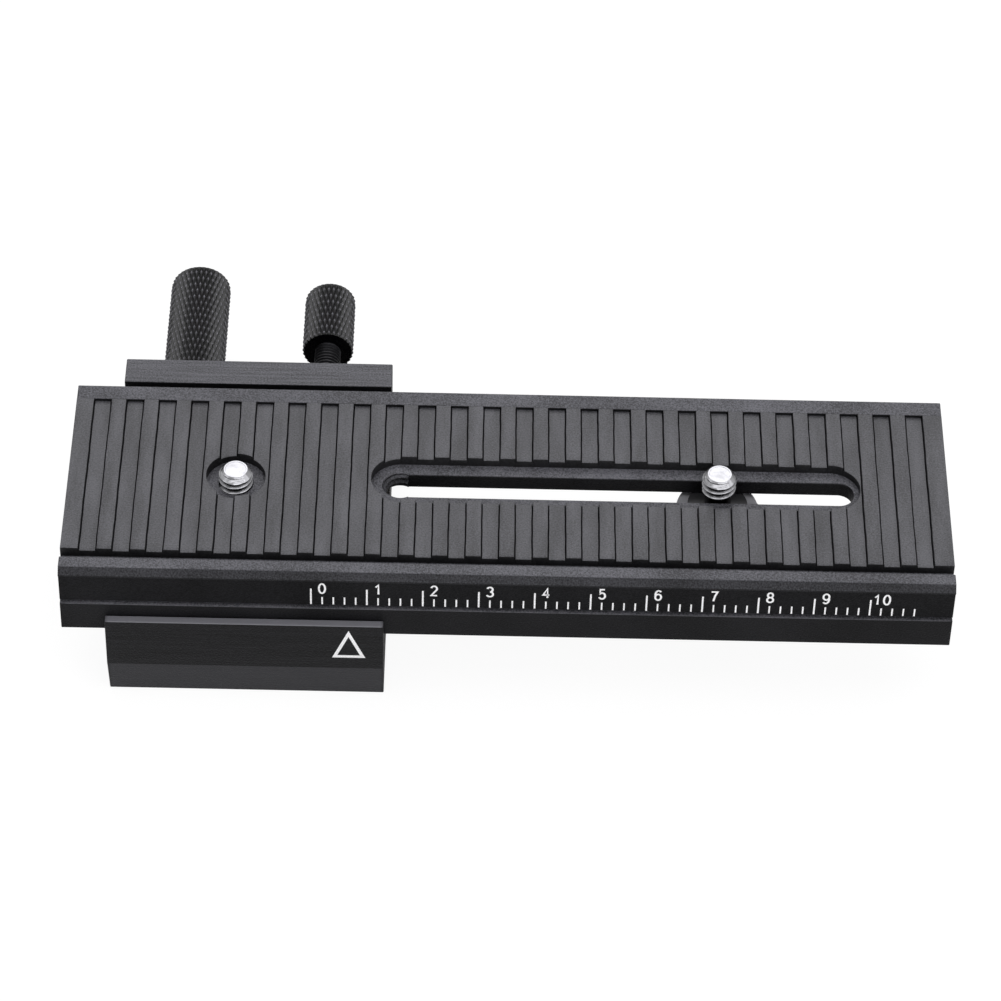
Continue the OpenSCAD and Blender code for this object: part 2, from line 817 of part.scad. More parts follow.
carriage_body();
tripod_bush();
front_bush();
rear_bush();
focus_washer();
glide_strips();
gib_pins();
rail_profile();
grip_pad();
scale_strip();
rack();
rack_screws();
stop_screws();
focus_shaft();
pinion();
pinion_pin();
shaft_clip();
focus_knob();
focus_grub();
clamp_gib();
gib_retainer();
gib_rivets();
lock_screw();
lock_knob();
lock_grub();
left_stem();
left_head();
left_washer();
left_ring();
slot_washer();
slot_stem();
slot_head();
slot_ring();
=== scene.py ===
# Macro focusing rail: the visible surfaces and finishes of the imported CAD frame.
import logging
import math
from dataclasses import dataclass
from enum import Enum
from typing import Optional, Sequence, Union

import bmesh
import bpy
import numpy as np
from mathutils import Matrix, Vector


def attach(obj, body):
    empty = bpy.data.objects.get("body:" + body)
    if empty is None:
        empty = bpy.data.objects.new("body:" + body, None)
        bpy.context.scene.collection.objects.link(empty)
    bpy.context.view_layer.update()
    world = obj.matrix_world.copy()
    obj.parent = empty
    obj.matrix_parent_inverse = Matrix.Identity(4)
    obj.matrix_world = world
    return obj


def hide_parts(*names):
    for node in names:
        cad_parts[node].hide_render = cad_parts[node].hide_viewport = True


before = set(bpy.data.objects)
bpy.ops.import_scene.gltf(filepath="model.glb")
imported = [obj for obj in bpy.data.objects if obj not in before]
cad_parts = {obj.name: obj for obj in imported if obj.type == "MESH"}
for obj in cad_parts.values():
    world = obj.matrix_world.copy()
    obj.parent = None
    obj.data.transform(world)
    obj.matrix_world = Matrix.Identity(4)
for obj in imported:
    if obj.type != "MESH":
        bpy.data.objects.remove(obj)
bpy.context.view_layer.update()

LOG = logging.getLogger("focusing_rail")
MM = 0.001
TAU = 2 * math.pi
# Edges sharper than this are rounded, in radians.
EASED_FROM = math.radians(33)
# Edges sharper than this are shaded hard, in degrees.
HARD_FROM = 32.0
# Points nearer than the first are one point, and edges shorter than the second are
# none, in metres.
SAME_POINT, NO_EDGE = 2e-7, 1e-7
# A cut narrower than this, in millimetres, is none.
NO_GAP = 1e-3
# How far ink stands out of the face that carries it, and how deep its back is sunk, in
# millimetres.
INK_PROUD, INK_SUNK = 0.02, 0.03
# Distance between the crests of the 1/4 inch camera thread, in millimetres.
CAMERA_PITCH = 1.27
Array = np.ndarray
Link = Union[bpy.types.NodeSocket, float]


class Body(Enum):
    """The CAD bodies that pieces ride on."""

    CARRIAGE = "carriage"
    RAIL = "rail"
    FOCUS = "focus_drive"
    JAW = "clamp_jaw"
    LOCK = "lock_drive"
    LEFT_SCREW = "left_screw"
    SLOT_SCREW = "slot_screw"


class Slot(Enum):
    """The record's material slots."""

    ANODISED = "anodised"
    GRIP = "grip_rubber"
    NICKEL = "nickel"
    STEEL = "steel"
    BLACK_STEEL = "black_steel"
    KNOB = "knob_black"
    BRASS = "brass"
    ACETAL = "acetal"
    NYLON = "nylon"
    PRINT = "print_white"


class Axis(Enum):
    """The direction that a turned piece's axis runs in."""

    Y = "y"
    Z = "z"


# ---------------------------------------------------------------- materials

# Most values of a noise lie in the first span; nearly all lie in the second.
NOISE_MOST, NOISE_ALL = (0.38, 0.62), (0.3, 0.7)
# The upward part of a face's normal where the painted top light starts, and where it is
# full.
TOP_LIGHT_SPAN = (0.6, 0.97)
# A region is at its full paleness up to this share of its half size.
REGION_FULL = 0.97


def linear(code: str) -> tuple[float, float, float, float]:
    """Turns an sRGB hex colour into the linear values that Blender's sockets take.

    Args:
        code: six hex digits after a hash sign.

    Returns:
        Red, green, blue and an alpha of 1.
    """
    parts = (int(code[i : i + 2], 16) / 255 for i in (1, 3, 5))
    red, green, blue = (
        c / 12.92 if c <= 0.04045 else ((c + 0.055) / 1.055) ** 2.4 for c in parts
    )
    return red, green, blue, 1.0


def add_node(
    tree: bpy.types.NodeTree,
    kind: str,
    settings: Optional[dict] = None,
    links: Optional[dict] = None,
) -> bpy.types.Node:
    """Adds one shader node, sets its values and links its inputs.

    Args:
        tree: the node tree that the node joins.
        kind: Blender's name of the node type.
        settings: node properties or input sockets, by name or number, and their values.
        links: input sockets, by name or number, and the output socket each is fed from.

    Returns:
        The new node.
    """
    node = tree.nodes.new(kind)
    for key, value in (settings or {}).items():
        if isinstance(key, str) and hasattr(node, key):
            setattr(node, key, value)
        else:
            node.inputs[key].default_value = value
    for key, socket in (links or {}).items():
        tree.links.new(socket, node.inputs[key])
    return node


@dataclass(frozen=True)
class Region:
    """A box-shaped part of a surface painted paler: a painted highlight."""

    low: tuple[float, float, float]
    high: tuple[float, float, float]
    paleness: float


@dataclass(frozen=True)
class Finish:
    """A real surface: its two colours, and how it was made.

    A noise of short waves, the grain, colours, roughens and dents the surface. A slow
    noise, the drift, shades it in clouds or streaks. Faces that look up are painted
    paler by the factor fade: painted light, as if lit from above. All
    sizes are in millimetres.
    """

    name: str
    slot: Slot
    colour: str
    pale: str
    roughness: float
    metallic: float = 0.0
    specular: float = 0.5
    grain: float = 0.3
    stretch: tuple[float, float, float] = (1.0, 1.0, 1.0)
    drift: float = 14.0
    drift_stretch: tuple[float, float, float] = (1.0, 1.0, 1.0)
    drift_share: float = 0.3
    fade: float = 1.0
    rough_span: float = 0.12
    depth: float = 0.02

    def material(self) -> bpy.types.Material:
        """Makes this finish's node material once and then shares it.

        Returns:
            The material.
        """
        known = bpy.data.materials.get(self.name)
        if known and known.get("dressed"):
            return known
        material = bpy.data.materials.new(self.name)
        material.use_nodes = True
        material["dressed"] = True
        tree = material.node_tree
        tree.nodes.clear()
        source = add_node(tree, "ShaderNodeTexCoord").outputs
        place = source["Object"]
        drawn = add_node(
            tree, "ShaderNodeMapping", {"Scale": self.stretch}, {"Vector": place}
        )
        grain = add_node(
            tree,
            "ShaderNodeTexNoise",
            {"Scale": 1 / (self.grain * MM), "Detail": 3.0, "Roughness": 0.6},
            {"Vector": drawn.outputs[0]},
        ).outputs["Fac"]
        slow = add_node(
            tree, "ShaderNodeMapping", {"Scale": self.drift_stretch}, {"Vector": place}
        )
        drift = add_node(
            tree,
            "ShaderNodeTexNoise",
            {"Scale": 1 / (self.drift * MM), "Detail": 3.0},
            {"Vector": slow.outputs[0]},
        ).outputs["Fac"]
        both = add_node(
            tree,
            "ShaderNodeMix",
            {"data_type": "FLOAT", 0: self.drift_share},
            {2: grain, 3: drift},
        ).outputs[0]
        paleness = add_node(
            tree,
            "ShaderNodeMapRange",
            {"From Min": NOISE_MOST[0], "From Max": NOISE_MOST[1]},
            {"Value": both},
        ).outputs["Result"]
        colour = add_node(
            tree,
            "ShaderNodeMix",
            {"data_type": "RGBA", 6: linear(self.colour), 7: linear(self.pale)},
            {0: self.wear(tree, place, paleness)},
        ).outputs[2]
        # Painted top light: faces that look up get a paler colour, scaled up to a set
        # factor, as if lit from above.
        if self.fade > 1:
            facing = add_node(
                tree, "ShaderNodeSeparateXYZ", None, {0: source["Normal"]}
            ).outputs[2]
            top_light_lift = add_node(
                tree,
                "ShaderNodeMapRange",
                {
                    "From Min": TOP_LIGHT_SPAN[0],
                    "From Max": TOP_LIGHT_SPAN[1],
                    "To Min": 1.0,
                    "To Max": self.fade,
                },
                {"Value": facing},
            ).outputs["Result"]
            colour = add_node(
                tree,
                "ShaderNodeVectorMath",
                {"operation": "SCALE"},
                {0: colour, "Scale": top_light_lift},
            ).outputs[0]
        rough = add_node(
            tree,
            "ShaderNodeMapRange",
            {
                "From Min": NOISE_ALL[0],
                "From Max": NOISE_ALL[1],
                "To Min": self.roughness - self.rough_span / 2,
                "To Max": self.roughness + self.rough_span / 2,
            },
            {"Value": grain},
        ).outputs["Result"]
        dents = add_node(
            tree, "ShaderNodeBump", {"Distance": self.depth * MM}, {"Height": grain}
        ).outputs[0]
        shader = add_node(
            tree,
            "ShaderNodeBsdfPrincipled",
            {"Metallic": self.metallic},
            {
                "Base Color": self.marks(tree, place, colour),
                "Roughness": rough,
                "Normal": self.relief(tree, place, dents),
            },
        )
        if not self.metallic:
            shader.inputs["Specular IOR Level"].default_value = self.specular
        add_node(tree, "ShaderNodeOutputMaterial", None, {"Surface": shader.outputs[0]})
        return material

    def wear(self, tree: bpy.types.NodeTree, place: Link, paleness: Link) -> Link:
        """Returns how pale a place is; a plain finish adds no wear or painted glints.
        """
        return paleness

    def marks(self, tree: bpy.types.NodeTree, place: Link, colour: Link) -> Link:
        """Returns the colour with this finish's own marks; a plain finish has none."""
        return colour

    def relief(self, tree: bpy.types.NodeTree, place: Link, normal: Link) -> Link:
        """Returns the normal with this finish's own relief; a plain finish has none."""
        return normal


@dataclass(frozen=True)
class BlastedAnodised(Finish):
    """Blasted or extruded aluminium under dyed anodising.

    Regions are painted paler, towards the colour bare: painted highlights
    on edges and ledges that catch light. With a depth of drawn lines, the die's lines
    run along X; each is line_width wide and, as line_squeeze says, fifty times as long.
    """

    bare: str = "#77777c"
    regions: tuple[Region, ...] = ()
    drawn: float = 0.0
    line_width: float = 0.3
    line_squeeze: tuple[float, float, float] = (0.02, 1.0, 1.0)

    def marks(self, tree: bpy.types.NodeTree, place: Link, colour: Link) -> Link:
        """Mixes in the highlight colour inside each region, as painted highlights.

        A place is inside where, measured from the region's middle in half sizes of the
        region, the largest of its three coordinates is below 1.

        Args:
            tree: the material's node tree.
            place: the place on the object.
            colour: the colour so far.

        Returns:
            The colour with the regions in it.
        """
        # Painted highlights: inside each box the colour is drawn paler, as where an
        # edge or ledge catches light.
        for region in self.regions:
            low, high = np.array(region.low) * MM, np.array(region.high) * MM
            measured = add_node(
                tree,
                "ShaderNodeMapping",
                {
                    "vector_type": "TEXTURE",
                    "Location": tuple((low + high) / 2),
                    "Scale": tuple((high - low) / 2),
                },
                {"Vector": place},
            ).outputs[0]
            size = add_node(
                tree, "ShaderNodeVectorMath", {"operation": "ABSOLUTE"}, {0: measured}
            ).outputs[0]
            axes = add_node(tree, "ShaderNodeSeparateXYZ", None, {0: size}).outputs
            largest = axes[0]
            for axis in axes[1:]:
                largest = add_node(
                    tree,
                    "ShaderNodeMath",
                    {"operation": "MAXIMUM"},
                    {0: largest, 1: axis},
                ).outputs[0]
            inside = add_node(
                tree,
                "ShaderNodeMapRange",
                {"From Min": 1.0, "From Max": REGION_FULL, "To Max": region.paleness},
                {"Value": largest},
            ).outputs["Result"]
            colour = add_node(
                tree,
                "ShaderNodeMix",
                {"data_type": "RGBA", 7: linear(self.bare)},
                {0: inside, 6: colour},
            ).outputs[2]
        return colour

    def relief(self, tree: bpy.types.NodeTree, place: Link, normal: Link) -> Link:
        """Adds the die's long lines.

        Args:
            tree: the material's node tree.
            place: the place on the object.
            normal: the normal so far.

        Returns:
            The normal with the lines in it, or as it was without a depth for them.
        """
        if not self.drawn:
            return normal
        along = add_node(
            tree, "ShaderNodeMapping", {"Scale": self.line_squeeze}, {"Vector": place}
        )
        lines = add_node(
            tree,
            "ShaderNodeTexNoise",
            {"Scale": 1 / (self.line_width * MM), "Detail": 3.0},
            {"Vector": along.outputs[0]},
        )
        return add_node(
            tree,
            "ShaderNodeBump",
            {"Distance": self.drawn * MM},
            {"Height": lines.outputs["Fac"], "Normal": normal},
        ).outputs[0]


@dataclass(frozen=True)
class KnurledAnodised(Finish):
    """Black anodised diamond knurl, its tips painted paler: wear and painted glints.

    A high tip_power keeps the paleness close to the tips. Where the surface's noise is
    low, only the share least_worn of it is left.
    """

    tip_power: float = 6.0
    least_worn: float = 0.35

    def wear(self, tree: bpy.types.NodeTree, place: Link, paleness: Link) -> Link:
        """Pales the tips: wear, and painted glints.

        Args:
            tree: the material's node tree.
            place: the place on the object.
            paleness: the surface's noise.

        Returns:
            The piece's own knurl height, 0 in the grooves and 1 on the tips, raised to
            a power, and less where the surface's noise is low.
        """
        # Painted glints, partly wear: the knurl's diamond tips are drawn paler than its
        # grooves.
        height = add_node(tree, "ShaderNodeAttribute", {"attribute_name": "knurl"})
        tips = add_node(
            tree,
            "ShaderNodeMath",
            {"operation": "POWER", 1: self.tip_power},
            {0: height.outputs["Fac"]},
        ).outputs[0]
        patches = add_node(
            tree,
            "ShaderNodeMapRange",
            {"To Min": self.least_worn},
            {"Value": paleness},
        ).outputs["Result"]
        return add_node(
            tree, "ShaderNodeMath", {"operation": "MULTIPLY"}, {0: tips, 1: patches}
        ).outputs[0]


@dataclass(frozen=True)
class TurnedMetal(Finish):
    """Metal cut on a lathe: fine rings round the axis, which draw light into arcs, and
    painted shade below thread_top: dark at the radius root, gone at the radius crest.
    """

    centre: tuple[float, float] = (0.0, 0.0)
    root: float = 2.5
    crest: float = 3.08
    thread_top: float = 30.0
    grime: str = "#101011"
    ring: float = 0.16
    ring_depth: float = 0.004

    def distance(self, tree: bpy.types.NodeTree, place: Link) -> Link:
        """Measures how far a place is from the screw's upright axis.

        Args:
            tree: the material's node tree.
            place: the place on the object.

        Returns:
            The distance in metres.
        """
        x, y = self.centre
        centred = add_node(
            tree,
            "ShaderNodeMapping",
            {"Location": (-x * MM, -y * MM, 0), "Scale": (1, 1, 0)},
            {"Vector": place},
        ).outputs[0]
        return add_node(
            tree, "ShaderNodeVectorMath", {"operation": "LENGTH"}, {0: centred}
        ).outputs["Value"]

    def marks(self, tree: bpy.types.NodeTree, place: Link, colour: Link) -> Link:
        """Mixes in the painted shade.

        Args:
            tree: the material's node tree.
            place: the place on the object.
            colour: the unshaded metal's colour.

        Returns:
            The colour with painted shade in the thread's roots.
        """
        # Painted shade: the thread's roots below the top of the thread are drawn dark.
        height = add_node(tree, "ShaderNodeSeparateXYZ", None, {0: place}).outputs[2]
        above = add_node(
            tree,
            "ShaderNodeMath",
            {"operation": "GREATER_THAN", 1: self.thread_top * MM},
            {0: height},
        ).outputs[0]
        outward = add_node(
            tree,
            "ShaderNodeMapRange",
            {"From Min": self.root * MM, "From Max": self.crest * MM},
            {"Value": self.distance(tree, place)},
        ).outputs["Result"]
        clean = add_node(
            tree, "ShaderNodeMath", {"operation": "MAXIMUM"}, {0: outward, 1: above}
        ).outputs[0]
        return add_node(
            tree,
            "ShaderNodeMix",
            {"data_type": "RGBA", 6: linear(self.grime)},
            {0: clean, 7: colour},
        ).outputs[2]

    def relief(self, tree: bpy.types.NodeTree, place: Link, normal: Link) -> Link:
        """Adds the cutter's rings.

        Args:
            tree: the material's node tree.
            place: the place on the object.
            normal: the normal so far.

        Returns:
            The normal, with the sine of the distance from the axis as relief, one wave
            for each ring.
        """
        distance = self.distance(tree, place)
        turns = add_node(
            tree,
            "ShaderNodeMath",
            {"operation": "MULTIPLY", 1: TAU / (self.ring * MM)},
            {0: distance},
        ).outputs[0]
        wave = add_node(tree, "ShaderNodeMath", {"operation": "SINE"}, {0: turns})
        return add_node(
            tree,
            "ShaderNodeBump",
            {"Distance": self.ring_depth * MM},
            {"Height": wave.outputs[0], "Normal": normal},
        ).outputs[0]


# Real bead blasting leaves dimples of 0.05 mm. They are drawn 0.3 mm wide, which is
# as fine as the render shows.
DIMPLE = 0.3
# Black dye on aluminium, and the same dye thinned at the dimples' rims.
BLACK_DYE, THIN_DYE = "#0b0b0c", "#1d1d1f"

# Black anodised aluminium, bead blasted: a soft dark satin with a fine grey sparkle.
# The flange's narrow ledge is painted paler as a painted highlight, and faces that look
# up are painted paler as painted top light.
BLASTED = BlastedAnodised(
    "anodised_aluminium_blasted",
    Slot.ANODISED,
    BLACK_DYE,
    THIN_DYE,
    roughness=0.38,
    specular=0.1,
    grain=DIMPLE,
    fade=11.6,
    depth=0.1,
    regions=(Region((-33.1, -24.1, 22.6), (127.1, -23.75, 22.9), 0.22),),
)
# Black anodised aluminium, extruded and then blasted: the same satin over faint long
# lines. The wall's upper ledge and its foot, a milled slope, are painted paler than the
# face between them: painted light on the ledge, and a painted reflection of the floor
# on the slope. Faces that look up are painted paler too, as painted top light.
CARRIAGE_SKIN = BlastedAnodised(
    "anodised_aluminium_extruded",
    Slot.ANODISED,
    BLACK_DYE,
    THIN_DYE,
    roughness=0.37,
    specular=0.14,
    grain=DIMPLE,
    drift=0.5,
    drift_stretch=(0.03, 1.0, 1.0),
    drift_share=0.35,
    fade=11.2,
    depth=0.1,
    drawn=0.02,
    regions=(
        Region((-25.1, -25.8, 19.85), (25.1, -24.1, 20.1), 0.95),
        Region((-25.1, -25.69, -0.1), (25.1, -23.0, 9.05), 0.14),
    ),
)
# The same aluminium on the camera screws' turned heads. Their upper faces under the
# plate are painted pale grey as a painted highlight, and faces that look up are painted
# paler too, as painted top light.
HEAD_SKIN = BlastedAnodised(
    "anodised_aluminium_turned",
    Slot.ANODISED,
    BLACK_DYE,
    THIN_DYE,
    roughness=0.36,
    specular=0.3,
    grain=DIMPLE,
    fade=8.0,
    depth=0.03,
    bare="#a3a3a7",
    regions=(
        Region((-12.0, -9.0, 23.55), (8.0, 10.0, 23.8), 0.8),
        Region((75.0, -9.0, 24.85), (96.0, 10.0, 25.1), 0.8),
    ),
)
# The scale face, anodised a second time for contrast: nearly black, with less sheen.
# Its lower edge is painted paler as a painted highlight, and faces that look up are
# painted paler as painted top light.
SCALE_SKIN = BlastedAnodised(
    "anodised_aluminium_scale",
    Slot.ANODISED,
    "#060607",
    "#1a1a1c",
    roughness=0.42,
    specular=0.08,
    grain=DIMPLE,
    fade=6.5,
    depth=0.09,
    regions=(Region((-33.1, -23.7, 23.1), (127.1, -23.5, 23.32), 0.22),),
)
# Moulded rubber with a spark-eroded skin: dull and dry. Faces that look up are painted
# paler, as painted top light.
RUBBER = Finish(
    "rubber_moulded",
    Slot.GRIP,
    "#0e0e0f",
    "#202022",
    roughness=0.46,
    specular=0.25,
    grain=0.32,
    drift=4.0,
    drift_stretch=(1.5, 0.3, 1.0),
    drift_share=0.35,
    fade=6.5,
    depth=0.06,
)
# Black anodised aluminium, rolled: black grooves, and tips painted grey: wear, and
# painted glints.
KNURL = KnurledAnodised(
    "anodised_aluminium_knurled",
    Slot.KNOB,
    "#030304",
    "#9c9aa6",
    roughness=0.23,
    specular=0.3,
    grain=0.5,
    depth=0.01,
)
# Bright drawn steel: a cool sheen broken by short scratches along the bar.
STEEL = Finish(
    "steel_bright_drawn",
    Slot.STEEL,
    "#8b8b8e",
    "#b4b4b6",
    roughness=0.3,
    metallic=1.0,
    grain=0.15,
    stretch=(0.05, 1.0, 1.0),
    drift=3.0,
    drift_share=0.7,
    depth=0.006,
)
# Steel blackened in a hot bath: a dark oily sheen with cloudy patches.
BLACK_OXIDE = Finish(
    "steel_black_oxide",
    Slot.BLACK_STEEL,
    "#1c1c1e",
    "#2e2e31",
    roughness=0.38,
    metallic=0.7,
    grain=0.4,
    drift=3.0,
    drift_share=0.6,
    depth=0.006,
)
# Machined brass: warm yellow with fine tool lines.
BRASS = Finish(
    "brass_machined",
    Slot.BRASS,
    "#a98342",
    "#c9a561",
    roughness=0.32,
    metallic=1.0,
    grain=0.15,
    stretch=(0.05, 1.0, 1.0),
    drift=3.0,
    drift_share=0.7,
    depth=0.006,
)
# Milled acetal: an even, waxy off-white.
ACETAL = Finish(
    "acetal_milled",
    Slot.ACETAL,
    "#cfcec6",
    "#e3e2db",
    roughness=0.45,
    grain=0.25,
    drift=4.0,
    drift_share=0.8,
    depth=0.006,
)
# Moulded nylon: black with a low, even sheen.
NYLON = Finish(
    "nylon_black_moulded",
    Slot.NYLON,
    "#101012",
    "#1a1a1d",
    roughness=0.5,
    grain=0.25,
    drift=4.0,
    drift_share=0.8,
    depth=0.01,
)
# Screen-printed epoxy ink: a flat clean white, greyed a little at pinholes.
INK = Finish(
    "ink_white_screen_printed",
    Slot.PRINT,
    "#e4e4e4",
    "#ffffff",
    roughness=0.55,
    specular=0.3,
    grain=0.15,
    drift_share=0.1,
    depth=0.004,
)


# ------------------------------------------------------------------- meshes


class Shell:
    """Gathers grids of points in millimetres and closes them into one mesh."""

    def __init__(self) -> None:
        """Starts with no points and no faces."""
        self.points: list[Array] = []
        self.faces: list[list[int]] = []
        self.tags: list[Array] = []
        self.count = 0

    def take(self, points: Array, tag: Optional[Array] = None) -> Array:
        """Adds points.

        Args:
            points: shape (..., 3).
            tag: one number per point, zero where none is given.

        Returns:
            The points' numbers, in the points' own shape.
        """
        flat = points.reshape(-1, 3)
        self.points.append(flat)
        self.tags.append(np.zeros(len(flat)) if tag is None else tag.reshape(-1))
        numbers = np.arange(len(flat)).reshape(points.shape[:-1]) + self.count
        self.count += len(flat)
        return numbers

    def grid(
        self,
        points: Array,
        wrap: bool = False,
        keep: Optional[Array] = None,
        tag: Optional[Array] = None,
    ) -> Array:
        """Adds a surface given as a grid of points, with a quad between neighbours.

        Args:
            points: shape (rows, columns, 3).
            wrap: joins the last column to the first.
            keep: which quads to keep, of shape (rows - 1, quad columns).
            tag: one number per point, kept in the mesh as an attribute.

        Returns:
            The numbers of the points, shape (rows, columns).
        """
        numbers = self.take(points, tag)
        spread = np.hstack([numbers, numbers[:, :1]]) if wrap else numbers
        quads = np.stack(
            [spread[:-1, :-1], spread[:-1, 1:], spread[1:, 1:], spread[1:, :-1]], -1
        )
        quads = quads[keep] if keep is not None else quads.reshape(-1, 4)
        self.faces.extend(quads.tolist())
        return numbers

    def cap(self, ring: Array) -> None:
        """Adds one flat face over a ring of points of shape (n, 3)."""
        self.faces.append(self.take(ring).tolist())

    def mesh(
        self, name: str, tag: Optional[str] = None, angle: float = HARD_FROM
    ) -> bpy.types.Mesh:
        """Makes the mesh, with equal points merged and faces turned outwards.

        Args:
            name: the mesh's name.
            tag: the name under which each point's tag is kept, if it is. Under the name
                "ease", sharp edges whose two points are tagged 1 are marked for
                rounding.
            angle: edges sharper than this, in degrees, keep a hard shading.

        Returns:
            The mesh, in metres.
        """
        mesh = bpy.data.meshes.new(name)
        mesh.from_pydata((np.vstack(self.points) * MM).tolist(), [], self.faces)
        if tag:
            kept = mesh.attributes.new(tag, "FLOAT", "POINT")
            kept.data.foreach_set("value", np.concatenate(self.tags).astype(np.float32))
        tidy(mesh)
        shade(mesh, angle)
        return mesh


def tidy(mesh: bpy.types.Mesh, flatten: float = 0.0) -> None:
    """Merges equal points, drops empty faces and turns the rest outwards.

    Args:
        mesh: the mesh that is changed.
        flatten: joins faces that meet at less than this angle, in degrees.
    """
    work = bmesh.new()
    work.from_mesh(mesh)
    bmesh.ops.remove_doubles(work, verts=work.verts, dist=SAME_POINT)
    bmesh.ops.dissolve_degenerate(work, edges=work.edges, dist=NO_EDGE)
    if flatten:
        bmesh.ops.dissolve_limit(
            work,
            angle_limit=math.radians(flatten),
            verts=work.verts,
            edges=work.edges,
            use_dissolve_boundaries=False,
        )
    bmesh.ops.recalc_face_normals(work, faces=work.faces)
    tags = work.verts.layers.float.get("ease")
    if tags:
        weight = work.edges.layers.float.new("bevel_weight_edge")
        for edge in work.edges:
            if edge.is_manifold and edge.calc_face_angle() > EASED_FROM:
                edge[weight] = float(all(end[tags] > 0.5 for end in edge.verts))
    work.to_mesh(mesh)
    work.free()


def shade(mesh: bpy.types.Mesh, angle: float) -> None:
    """Shades a mesh smooth, except over its sharp edges.

    Args:
        mesh: the mesh that is changed.
        angle: edges sharper than this, in degrees, are shaded hard.
    """
    mesh.polygons.foreach_set("use_smooth", np.ones(len(mesh.polygons), bool))
    mesh.set_sharp_from_angle(angle=math.radians(angle))
    mesh.update()


def stand(
    name: str,
    mesh: bpy.types.Mesh,
    finish: Finish,
    body: Body,
    replaces: Sequence[str] = (),
    ease: float = 0.0,
) -> bpy.types.Object:
    """Puts a mesh into the scene as a piece of the object.

    Args:
        name: the piece's name.
        mesh: its mesh, in place and in metres.
        finish: its finish.
        body: the body it rides on.
        replaces: CAD nodes that it stands for.
        ease: width in millimetres of the rounding on its edges; none at 0.

    Returns:
        The new object.
    """
    piece = bpy.data.objects.new(name, mesh)
    bpy.context.scene.collection.objects.link(piece)
    mesh.materials.clear()
    mesh.materials.append(finish.material())
    if ease:
        edge = piece.modifiers.new("eased_edges", "BEVEL")
        edge.width = ease * MM
        edge.segments = 2
        tagged = "bevel_weight_edge" in mesh.attributes
        edge.limit_method = "WEIGHT" if tagged else "ANGLE"
        edge.angle_limit = EASED_FROM
        edge.use_clamp_overlap = False
        edge.harden_normals = True
    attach(piece, body.value)
    if replaces:
        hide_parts(*replaces)
    LOG.info("built %s on %s with %d faces", name, body.value, len(mesh.polygons))
    return piece


def finish_node(name: str, finish: Finish) -> None:
    """Gives a CAD node that keeps its own shape a finish.

    Args:
        name: the CAD node.
        finish: its finish.
    """
    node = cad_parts[name]
    for place in node.material_slots:
        place.link = "OBJECT"
        place.material = finish.material()
    LOG.info("finished %s with %s", name, finish.name)


def merged_copy(node: str, name: str) -> bpy.types.Mesh:
    """Copies a CAD node's mesh and joins its loose triangles into faces.

    Args:
        node: the CAD node.
        name: the new mesh's name.

    Returns:
        The new mesh.
    """
    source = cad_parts[node].data
    points = np.empty(len(source.vertices) * 3, np.float32)
    source.vertices.foreach_get("co", points)
    faces = np.empty(len(source.polygons) * 3, np.int32)
    source.polygons.foreach_get("vertices", faces)
    mesh = bpy.data.meshes.new(name)
    mesh.from_pydata(points.reshape(-1, 3).tolist(), [], faces.reshape(-1, 3).tolist())
    tidy(mesh, flatten=0.4)
    return mesh


def eased_copy(
    node: str, name: str, finish: Finish, body: Body, ease: float
) -> bpy.types.Object:
    """Stands a CAD node's own solid in the scene with its sharp edges rounded.

    Args:
        node: the CAD node whose shape is copied.
        name: the new piece's name.
        finish: its finish.
        body: the body it rides on.
        ease: width in millimetres of the rounding.

    Returns:
        The new object.
    """
    mesh = merged_copy(node, name)
    shade(mesh, HARD_FROM)
    return stand(name, mesh, finish, body, [node], ease)


def steps(low: float, high: float, count: int) -> Array:
    """Returns count + 1 evenly spaced numbers from low to high."""
    return np.linspace(low, high, count + 1)


def arc_half(x: Array, centre: float, radius: float) -> Array:
    """Half the width of a circle at each x; zero outside it."""
    return np.sqrt(np.clip(radius**2 - (x - centre) ** 2, 0, None))


@dataclass(frozen=True)
class Cut:
    """A round hole or a round-ended slot along X through a plate, middle on y."""

    left: float
    right: float
    radius: float

    def half(self, x: Array) -> Array:
        """Half the width at each x: a circle's at the ends, the radius between."""
        return arc_half(x, np.clip(x, self.left, self.right), self.radius)

    def stations(self, count: int = 20) -> Array:
        """Places along x that follow both round ends closely, count at each."""
        turn = steps(0, math.pi / 2, count)
        return np.concatenate(
            [
                self.left - self.radius * np.cos(turn),
                self.right + self.radius * np.sin(turn),
            ]
        )


def outline_of_cuts(cuts: Sequence[Cut], x: Array) -> Array:
    """Half the open width at each x, the widest of all the cuts there."""
    width = np.max([cut.half(x) for cut in cuts], axis=0)
    return np.where(width < NO_GAP, 0, width)


def sections_to_shell(
    shell: Shell,
    stations: Array,
    loop: Array,
    gap: Array,
    seam: int,
    tag: Optional[Array] = None,
) -> None:
    """Carries a closed section along X and closes its two ends.

    Args:
        shell: where the surface goes.
        stations: x of each section, shape (n,).
        loop: the section's points at each station, shape (n, k, 2) as y and z, or
            (n, k, 3) as x, y and z.
        gap: the open width at each station; where two neighbours have none, the quads
            of the seam are left out, so that two halves join into one solid.
        seam: number of the quad column that lies on the cut.
        tag: one number per point, if any.
    """
    if loop.shape[-1] == 2:
        along = np.broadcast_to(stations[:, None, None], loop.shape[:2] + (1,))
        loop = np.concatenate([along, loop], -1)
    keep = np.ones((len(stations) - 1, loop.shape[1]), bool)
    keep[:, seam] = (gap[:-1] > 0) | (gap[1:] > 0)
    numbers = shell.grid(loop, wrap=True, keep=keep, tag=tag)
    shell.faces.extend([numbers[0].tolist(), numbers[-1].tolist()])


# -------------------------------------------------------------------- rail


